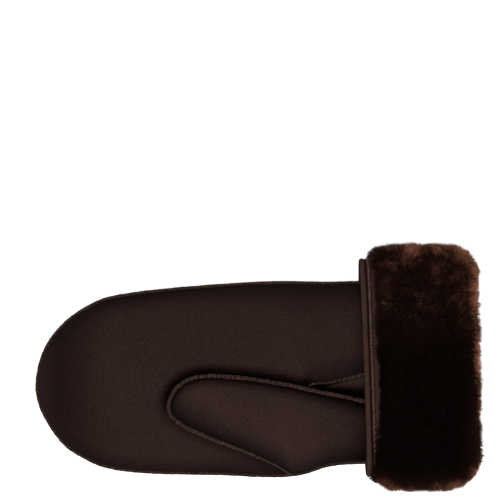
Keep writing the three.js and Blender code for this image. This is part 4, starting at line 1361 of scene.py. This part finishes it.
class MittenLeatherSettings(bpy.types.PropertyGroup):
    """The hide and its seams."""

    hide: colour("Hide", "Colour of the grain side", (0.0225, 0.0122, 0.0106))
    hide_thumb: colour("Thumb hide", "Colour of the thumb's grain side", (0.0255, 0.014, 0.0122))
    edge: colour("Raw edge", "Colour of the hide's cut edges in the seams", (0.014, 0.008, 0.0066))
    thread: colour("Thread", "Colour of the sewing thread", (0.06, 0.031, 0.024))
    trim: colour("Trim", "Colour of the piping and the facing", (0.034, 0.018, 0.014))
    grain_scale: FloatProperty(
        name="Grain", description="Pebbles of the grain in a metre", default=950.0, min=100.0
    )
    grain_depth: FloatProperty(
        name="Grain depth",
        description="Strength of the grain's relief",
        default=0.42,
        min=0.0,
        max=1.0,
        subtype="FACTOR"
    )
    stitch_pitch: FloatProperty(
        name="Stitch pitch",
        description="Length of a seam that one overcast stitch takes, in millimetres",
        default=1.2
    )


class MittenWoolSettings(bpy.types.PropertyGroup):
    """The shearling's wool."""

    root: colour("Root", "Colour deep in the pile", (0.0009, 0.0004, 0.0003))
    middle: colour("Middle", "Colour half way up a strand", (0.014, 0.0052, 0.0036))
    tip: colour("Tip", "Colour of a strand's lit tip", (0.2, 0.078, 0.045))
    strands: IntProperty(name="Strands", description="Number of separate strands", default=84000, min=0)
    clumps: IntProperty(
        name="Clumps", description="Number of clumps the tips draw together in", default=3200, min=1
    )
    sheen: FloatProperty(
        name="Sheen",
        description="Soft light along the strands",
        default=0.04,
        min=0.0,
        max=1.0,
        subtype="FACTOR"
    )


class MittenStageSettings(bpy.types.PropertyGroup):
    """The lights, the surroundings and the camera."""

    key_power: FloatProperty(
        name="Overhead light", description="Power of the large light above", default=40.0, unit="POWER"
    )
    upper_power: FloatProperty(
        name="Upper light", description="Power of the light straight above", default=14.0, unit="POWER"
    )
    sky: FloatProperty(
        name="Surroundings", description="Strength of the even light around", default=0.3, min=0.0
    )
    view_width: FloatProperty(
        name="View width", description="Width of the view", default=0.325, unit="LENGTH"
    )
    view_centre: FloatVectorProperty(
        name="View centre",
        description="Point under the camera",
        default=(-0.0065, 0.076, 0.016),
        size=3,
        unit="LENGTH"
    )


# Finishes of the pieces


def get_finish(name):
    """The finish of that name, made when it is first asked for."""
    if name in bpy.data.materials:
        return bpy.data.materials[name]
    settings = bpy.context.scene.mitten_leather
    wool = bpy.context.scene.mitten_wool
    if name == "hide_grain":
        return leather_material(name, tuple(settings.hide), settings.grain_scale, settings.grain_depth)
    if name == "thumb_grain":
        return leather_material(
            name, tuple(settings.hide_thumb), settings.grain_scale, settings.grain_depth
        )
    if name == "trim_leather":
        return leather_material(
            name, tuple(settings.trim), settings.grain_scale * 1.5, settings.grain_depth * 0.5
        )
    if name == "raw_edge":
        return suede_material(name, tuple(settings.edge))
    if name == "flesh_side":
        return suede_material(name, tuple(c * 0.5 for c in settings.edge))
    if name == "sewing_thread":
        return thread_material(name, tuple(settings.thread))
    if name == "light_thread":
        return thread_material(name, tuple(c * 2.5 for c in settings.thread))
    if name == "clipped_wool":
        return suede_material(name, (0.02, 0.008, 0.005))
    if name == "wool":
        return wool_material(name, tuple(wool.root), tuple(wool.middle), tuple(wool.tip), wool.sheen)
    raise ValueError(f"no material is called {name}")


def settle(obj, slot_name, *nodes):
    """Puts a piece on the mitten's one body and hides the frame's solids it stands for; slot_name is not
    used.
    """
    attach(obj, "root")
    if nodes:
        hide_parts(*nodes)
    return obj


# Operators


class MITTEN_OT_hand(bpy.types.Operator):
    """Palm and back in soft hide: each panel is a sweep of vault sections, seam + crown (1 -
    |t|^2.6)^power, moved along its normals by sums of sines for dents and by a groove that puckers at
    each stitch."""

    bl_idname = "mitten.hand_leather"
    bl_label = "Hand Leather"

    def execute(self, context):
        materials = [get_finish("hide_grain"), get_finish("clipped_wool"), get_finish("raw_edge")]
        settle(palm_panel(materials), "leather", "palm_panel")
        settle(
            back_panel("back_leather_little_finger_side", 1, materials),
            "leather",
            "back_panel_little_finger_side"
        )
        settle(back_panel("back_leather_thumb_side", -1, materials), "leather", "back_panel_thumb_side")
        return {"FINISHED"}


class MITTEN_OT_thumb(bpy.types.Operator):
    """The thumb's two hides: a vault laid on the palm's own height, and the hide under it, which dips
    into the pleat."""

    bl_idname = "mitten.thumb_leather"
    bl_label = "Thumb Leather"

    def execute(self, context):
        materials = [get_finish("thumb_grain"), get_finish("clipped_wool"), get_finish("raw_edge")]
        settle(thumb_upper_panel(materials), "leather", "thumb_upper_panel")
        materials = [get_finish("thumb_grain"), get_finish("flesh_side"), get_finish("raw_edge")]
        settle(thumb_under_panel(materials), "leather", "thumb_under_panel")
        return {"FINISHED"}


class MITTEN_OT_welts(bpy.types.Operator):
    """Raw hide edges in the seams: half ellipses along each seam's path, nicked between the two hides
    and made uneven by sums of sines."""

    bl_idname = "mitten.seam_welts"
    bl_label = "Seam Welts"

    def execute(self, context):
        edge = get_finish("raw_edge")
        outline, inner = outline_path()
        welt = flat_welt("side_seam_edges", outline, inner, SIDE_WELT_OUT, WELT, edge, seed=51)
        settle(welt, "seam_edge", "side_seam_welt")
        path, inner, out = thumb_welt_path()
        welt = flat_welt("thumb_seam_edges", path, inner, out * 0.8, THUMB_WELT, edge, seed=53)
        settle(welt, "seam_edge", "thumb_seam_welt")
        path, depth = back_seam_path()
        welt = standing_welt("back_seam_edges", path, depth, BACK_WELT_OUT, WELT, edge, seed=55, down=True)
        settle(welt, "seam_edge", "back_seam_welt")
        path = gusset_path()
        deep = np.full(len(path), HIDE_WALL * 0.5)
        out = GUSSET_WELT_OUT * 0.7
        welt = standing_welt("gusset_seam_edges", path, deep, out, 2 * GUSSET_HALF, edge, seed=57)
        settle(welt, "seam_edge", "gusset_seam_welt")
        return {"FINISHED"}


class MITTEN_OT_stitches(bpy.types.Operator):
    """Threads: overcast ones are tubes bent over a welt, reach cos(a) out and half sin(a) across;
    running ones are ellipsoids laid along a line."""

    bl_idname = "mitten.seam_stitches"
    bl_label = "Seam Stitches"

    def execute(self, context):
        pitch = context.scene.mitten_leather.stitch_pitch
        thread = get_finish("sewing_thread")
        up = np.array([0.0, 0.0, 1.0])
        path, _, out = thumb_welt_path()
        sizes = {"reach": out * 0.8 + 0.15, "half": THUMB_WELT / 2 + 0.2, "slant": 0.5, "radius": 0.3}
        beside = np.broadcast_to(up, path.shape)
        rope = wraps(path, plan_outward(path), beside, pitch=pitch, seed=61, **sizes)
        settle(build("thumb_seam_thread", *rope, thread), "seam_edge")
        path = gusset_path()
        over = np.broadcast_to(up, path.shape)
        run = np.gradient(path, axis=0)
        run /= np.linalg.norm(run, axis=1, keepdims=True)
        beside = np.cross(over, run)
        sizes = {"reach": GUSSET_WELT_OUT * 0.85, "half": 1.0, "slant": 0.45, "radius": 0.3, "arc": 0.55}
        rope = wraps(path, over, beside, pitch=pitch, seed=63, **sizes)
        settle(build("gusset_seam_thread", *rope, thread), "seam_edge")
        outline, _ = outline_path()
        sizes = {"reach": 1.6, "half": WELT / 2 + 0.1, "slant": 0.4, "radius": 0.28}
        beside = np.broadcast_to(up, outline.shape)
        rope = wraps(outline, plan_outward(outline), beside, pitch=pitch, seed=65, **sizes)
        settle(build("side_seam_thread", *rope, thread), "seam_edge")
        path, _ = back_seam_path()
        rows = []
        for side in (-1, 1):
            line = path.copy()
            line[:, 1] += side * 2.3
            line[:, 2] -= 0.35
            sizes = {"pitch": 3.0, "length": 2.4, "width": 0.6, "height": 0.45}
            rows.append(running_stitches(line, -up, seed=67 + side, **sizes))
        settle(build("back_seam_thread", *joined(rows), thread), "seam_edge")
        return {"FINISHED"}


class MITTEN_OT_cuff(bpy.types.Operator):
    """The cuff's leather: superellipse rings |y/a|^n + |z/b|^n = 1 carried round a section for the
    turned hide, the round piping and the flat facing, with its stitched channel."""

    bl_idname = "mitten.cuff_leather"
    bl_label = "Cuff Leather"

    def execute(self, context):
        trim = get_finish("trim_leather")
        settle(cuff_turnback(get_finish("flesh_side")), "leather", "cuff_turnback")
        settle(cuff_piping(trim), "leather", "cuff_piping")
        settle(cuff_facing(trim), "leather", "cuff_facing")
        rows = []
        sizes = {"pitch": 2.0, "length": 1.5, "width": 0.62, "height": 0.6}
        for across, skew, phase in ((0.95, 0.75, 0.25), (1.65, -0.75, 0.75)):
            line = facing_line(across, 0.85)
            rows.append(
                running_stitches(line, cuff_outward(line), seed=73, skew=skew, phase=phase, **sizes)
            )
        settle(build("facing_thread", *joined(rows), get_finish("light_thread")), "seam_edge")
        return {"FINISHED"}


class MITTEN_OT_wool(bpy.types.Operator):
    """The shearling: a dimpled base at 62 % of the pile's depth, and bare strands, thin spikes whose
    tips draw together in clumps and lean with the nap."""

    bl_idname = "mitten.cuff_wool"
    bl_label = "Cuff Wool"

    def execute(self, context):
        wool = get_finish("wool")
        settings = context.scene.mitten_wool
        settle(wool_base(wool), "fleece", "cuff_fleece")
        share = 5
        for k in range(share):
            strands = wool_strands(
                f"wool_strands_{k + 1}", settings.strands // share, settings.clumps // share, 100 + k, wool
            )
            settle(strands, "fleece")
        return {"FINISHED"}


FLOOR_HALF = 3000.0
FLOOR_DROP = 0.4


class MITTEN_OT_stage(bpy.types.Operator):
    """A pale floor, two large soft lights overhead, a pale room and the camera that looks straight down."""

    bl_idname = "mitten.stage"
    bl_label = "Photo Stage"

    def execute(self, context):
        settings = context.scene.mitten_stage
        corners = [
            (x * FLOOR_HALF - ORIGIN_X, y * FLOOR_HALF, -FLOOR_DROP)
            for x, y in ((-1, -1), (1, -1), (1, 1), (-1, 1))
        ]
        floor = build("floor", corners, [[0, 1, 2, 3]], self.paper())
        for name, power, size, place, turn in (
            ("overhead_light", settings.key_power, (1.2, 1.0), (-0.1, -0.5, 2.2), (0.224, 0.0, 0.0)),
            ("upper_light", settings.upper_power, (1.6, 1.6), (0.0, 0.3, 2.4), (0.0, 0.0, 0.0)),
        ):
            light = bpy.data.lights.new(name, "AREA")
            light.shape = "RECTANGLE"
            light.size, light.size_y = size
            light.energy = power
            lamp = bpy.data.objects.new(name, light)
            lamp.location = place
            lamp.rotation_euler = turn
            context.scene.collection.objects.link(lamp)
        world = bpy.data.worlds.new("pale_room")
        world.use_nodes = True
        self.horizon(world.node_tree, settings.sky)
        context.scene.world = world
        lens = bpy.data.cameras.new("camera")
        lens.lens = 180.0
        lens.sensor_width = 36.0
        lens.clip_start, lens.clip_end = 0.05, 20.0
        camera = bpy.data.objects.new("camera", lens)
        x, y, z = settings.view_centre
        camera.location = (x, y, z + settings.view_width * lens.lens / lens.sensor_width)
        context.scene.collection.objects.link(camera)
        context.scene.camera = camera
        context.scene.view_settings.view_transform = "Standard"
        return {"FINISHED"}

    def horizon(self, tree, sky):
        """An even room above a bright wall that meets the floor."""
        way = tree.nodes.new("ShaderNodeTexCoord")
        split = tree.nodes.new("ShaderNodeSeparateXYZ")
        fade = tree.nodes.new("ShaderNodeValToRGB")
        ramp(fade, [(0.06, 1.0), (0.2, sky)])
        tree.links.new(way.outputs["Generated"], split.inputs["Vector"])
        tree.links.new(split.outputs["Z"], fade.inputs["Fac"])
        tree.links.new(fade.outputs["Color"], tree.nodes["Background"].inputs["Color"])

    def paper(self):
        """A white floor that only the object's own shadow darkens."""
        material, tree, shader, node = new_material("white_paper")
        grain = node("ShaderNodeTexNoise", Scale=40.0)
        tint = node("ShaderNodeValToRGB", [("Fac", grain.outputs["Fac"])])
        ramp(tint, [(0.3, 0.6), (0.7, 0.62)])
        tree.links.new(tint.outputs["Color"], shader.inputs["Base Color"])
        shader.inputs["Roughness"].default_value = 0.9
        shader.inputs["Specular IOR Level"].default_value = 0.1
        shader.inputs["Emission Color"].default_value = (1.0, 1.0, 1.0, 1.0)
        shader.inputs["Emission Strength"].default_value = 0.85
        return material


class MITTEN_PT_panel(bpy.types.Panel):
    """The mitten's sizes, colours and pieces in the sidebar."""

    bl_idname = "MITTEN_PT_panel"
    bl_label = "Shearling Mitten"
    bl_space_type = "VIEW_3D"
    bl_region_type = "UI"
    bl_category = "Mitten"

    def draw(self, context):
        layout = self.layout
        for operator in OPERATORS:
            layout.operator(operator.bl_idname)
        for settings in (
            context.scene.mitten_leather, context.scene.mitten_wool, context.scene.mitten_stage
        ):
            box = layout.box()
            for name in settings.__annotations__:
                box.prop(settings, name)


OPERATORS = (
    MITTEN_OT_stage,
    MITTEN_OT_hand,
    MITTEN_OT_thumb,
    MITTEN_OT_welts,
    MITTEN_OT_stitches,
    MITTEN_OT_cuff,
    MITTEN_OT_wool,
)
CLASSES = (MittenLeatherSettings, MittenWoolSettings, MittenStageSettings, *OPERATORS, MITTEN_PT_panel)


def register():
    """Adds the settings, the operators and the panel."""
    for item in CLASSES:
        bpy.utils.register_class(item)
    bpy.types.Scene.mitten_leather = PointerProperty(type=MittenLeatherSettings)
    bpy.types.Scene.mitten_wool = PointerProperty(type=MittenWoolSettings)
    bpy.types.Scene.mitten_stage = PointerProperty(type=MittenStageSettings)


def unregister():
    """Takes them away again."""
    del bpy.types.Scene.mitten_leather
    del bpy.types.Scene.mitten_wool
    del bpy.types.Scene.mitten_stage
    for item in reversed(CLASSES):
        bpy.utils.unregister_class(item)


def main():
    """Makes every piece in order."""
    register()
    bpy.ops.mitten.stage()
    bpy.ops.mitten.hand_leather()
    bpy.ops.mitten.thumb_leather()
    bpy.ops.mitten.seam_welts()
    bpy.ops.mitten.seam_stitches()
    bpy.ops.mitten.cuff_leather()
    bpy.ops.mitten.cuff_wool()


if __name__ == "__main__":
    main()
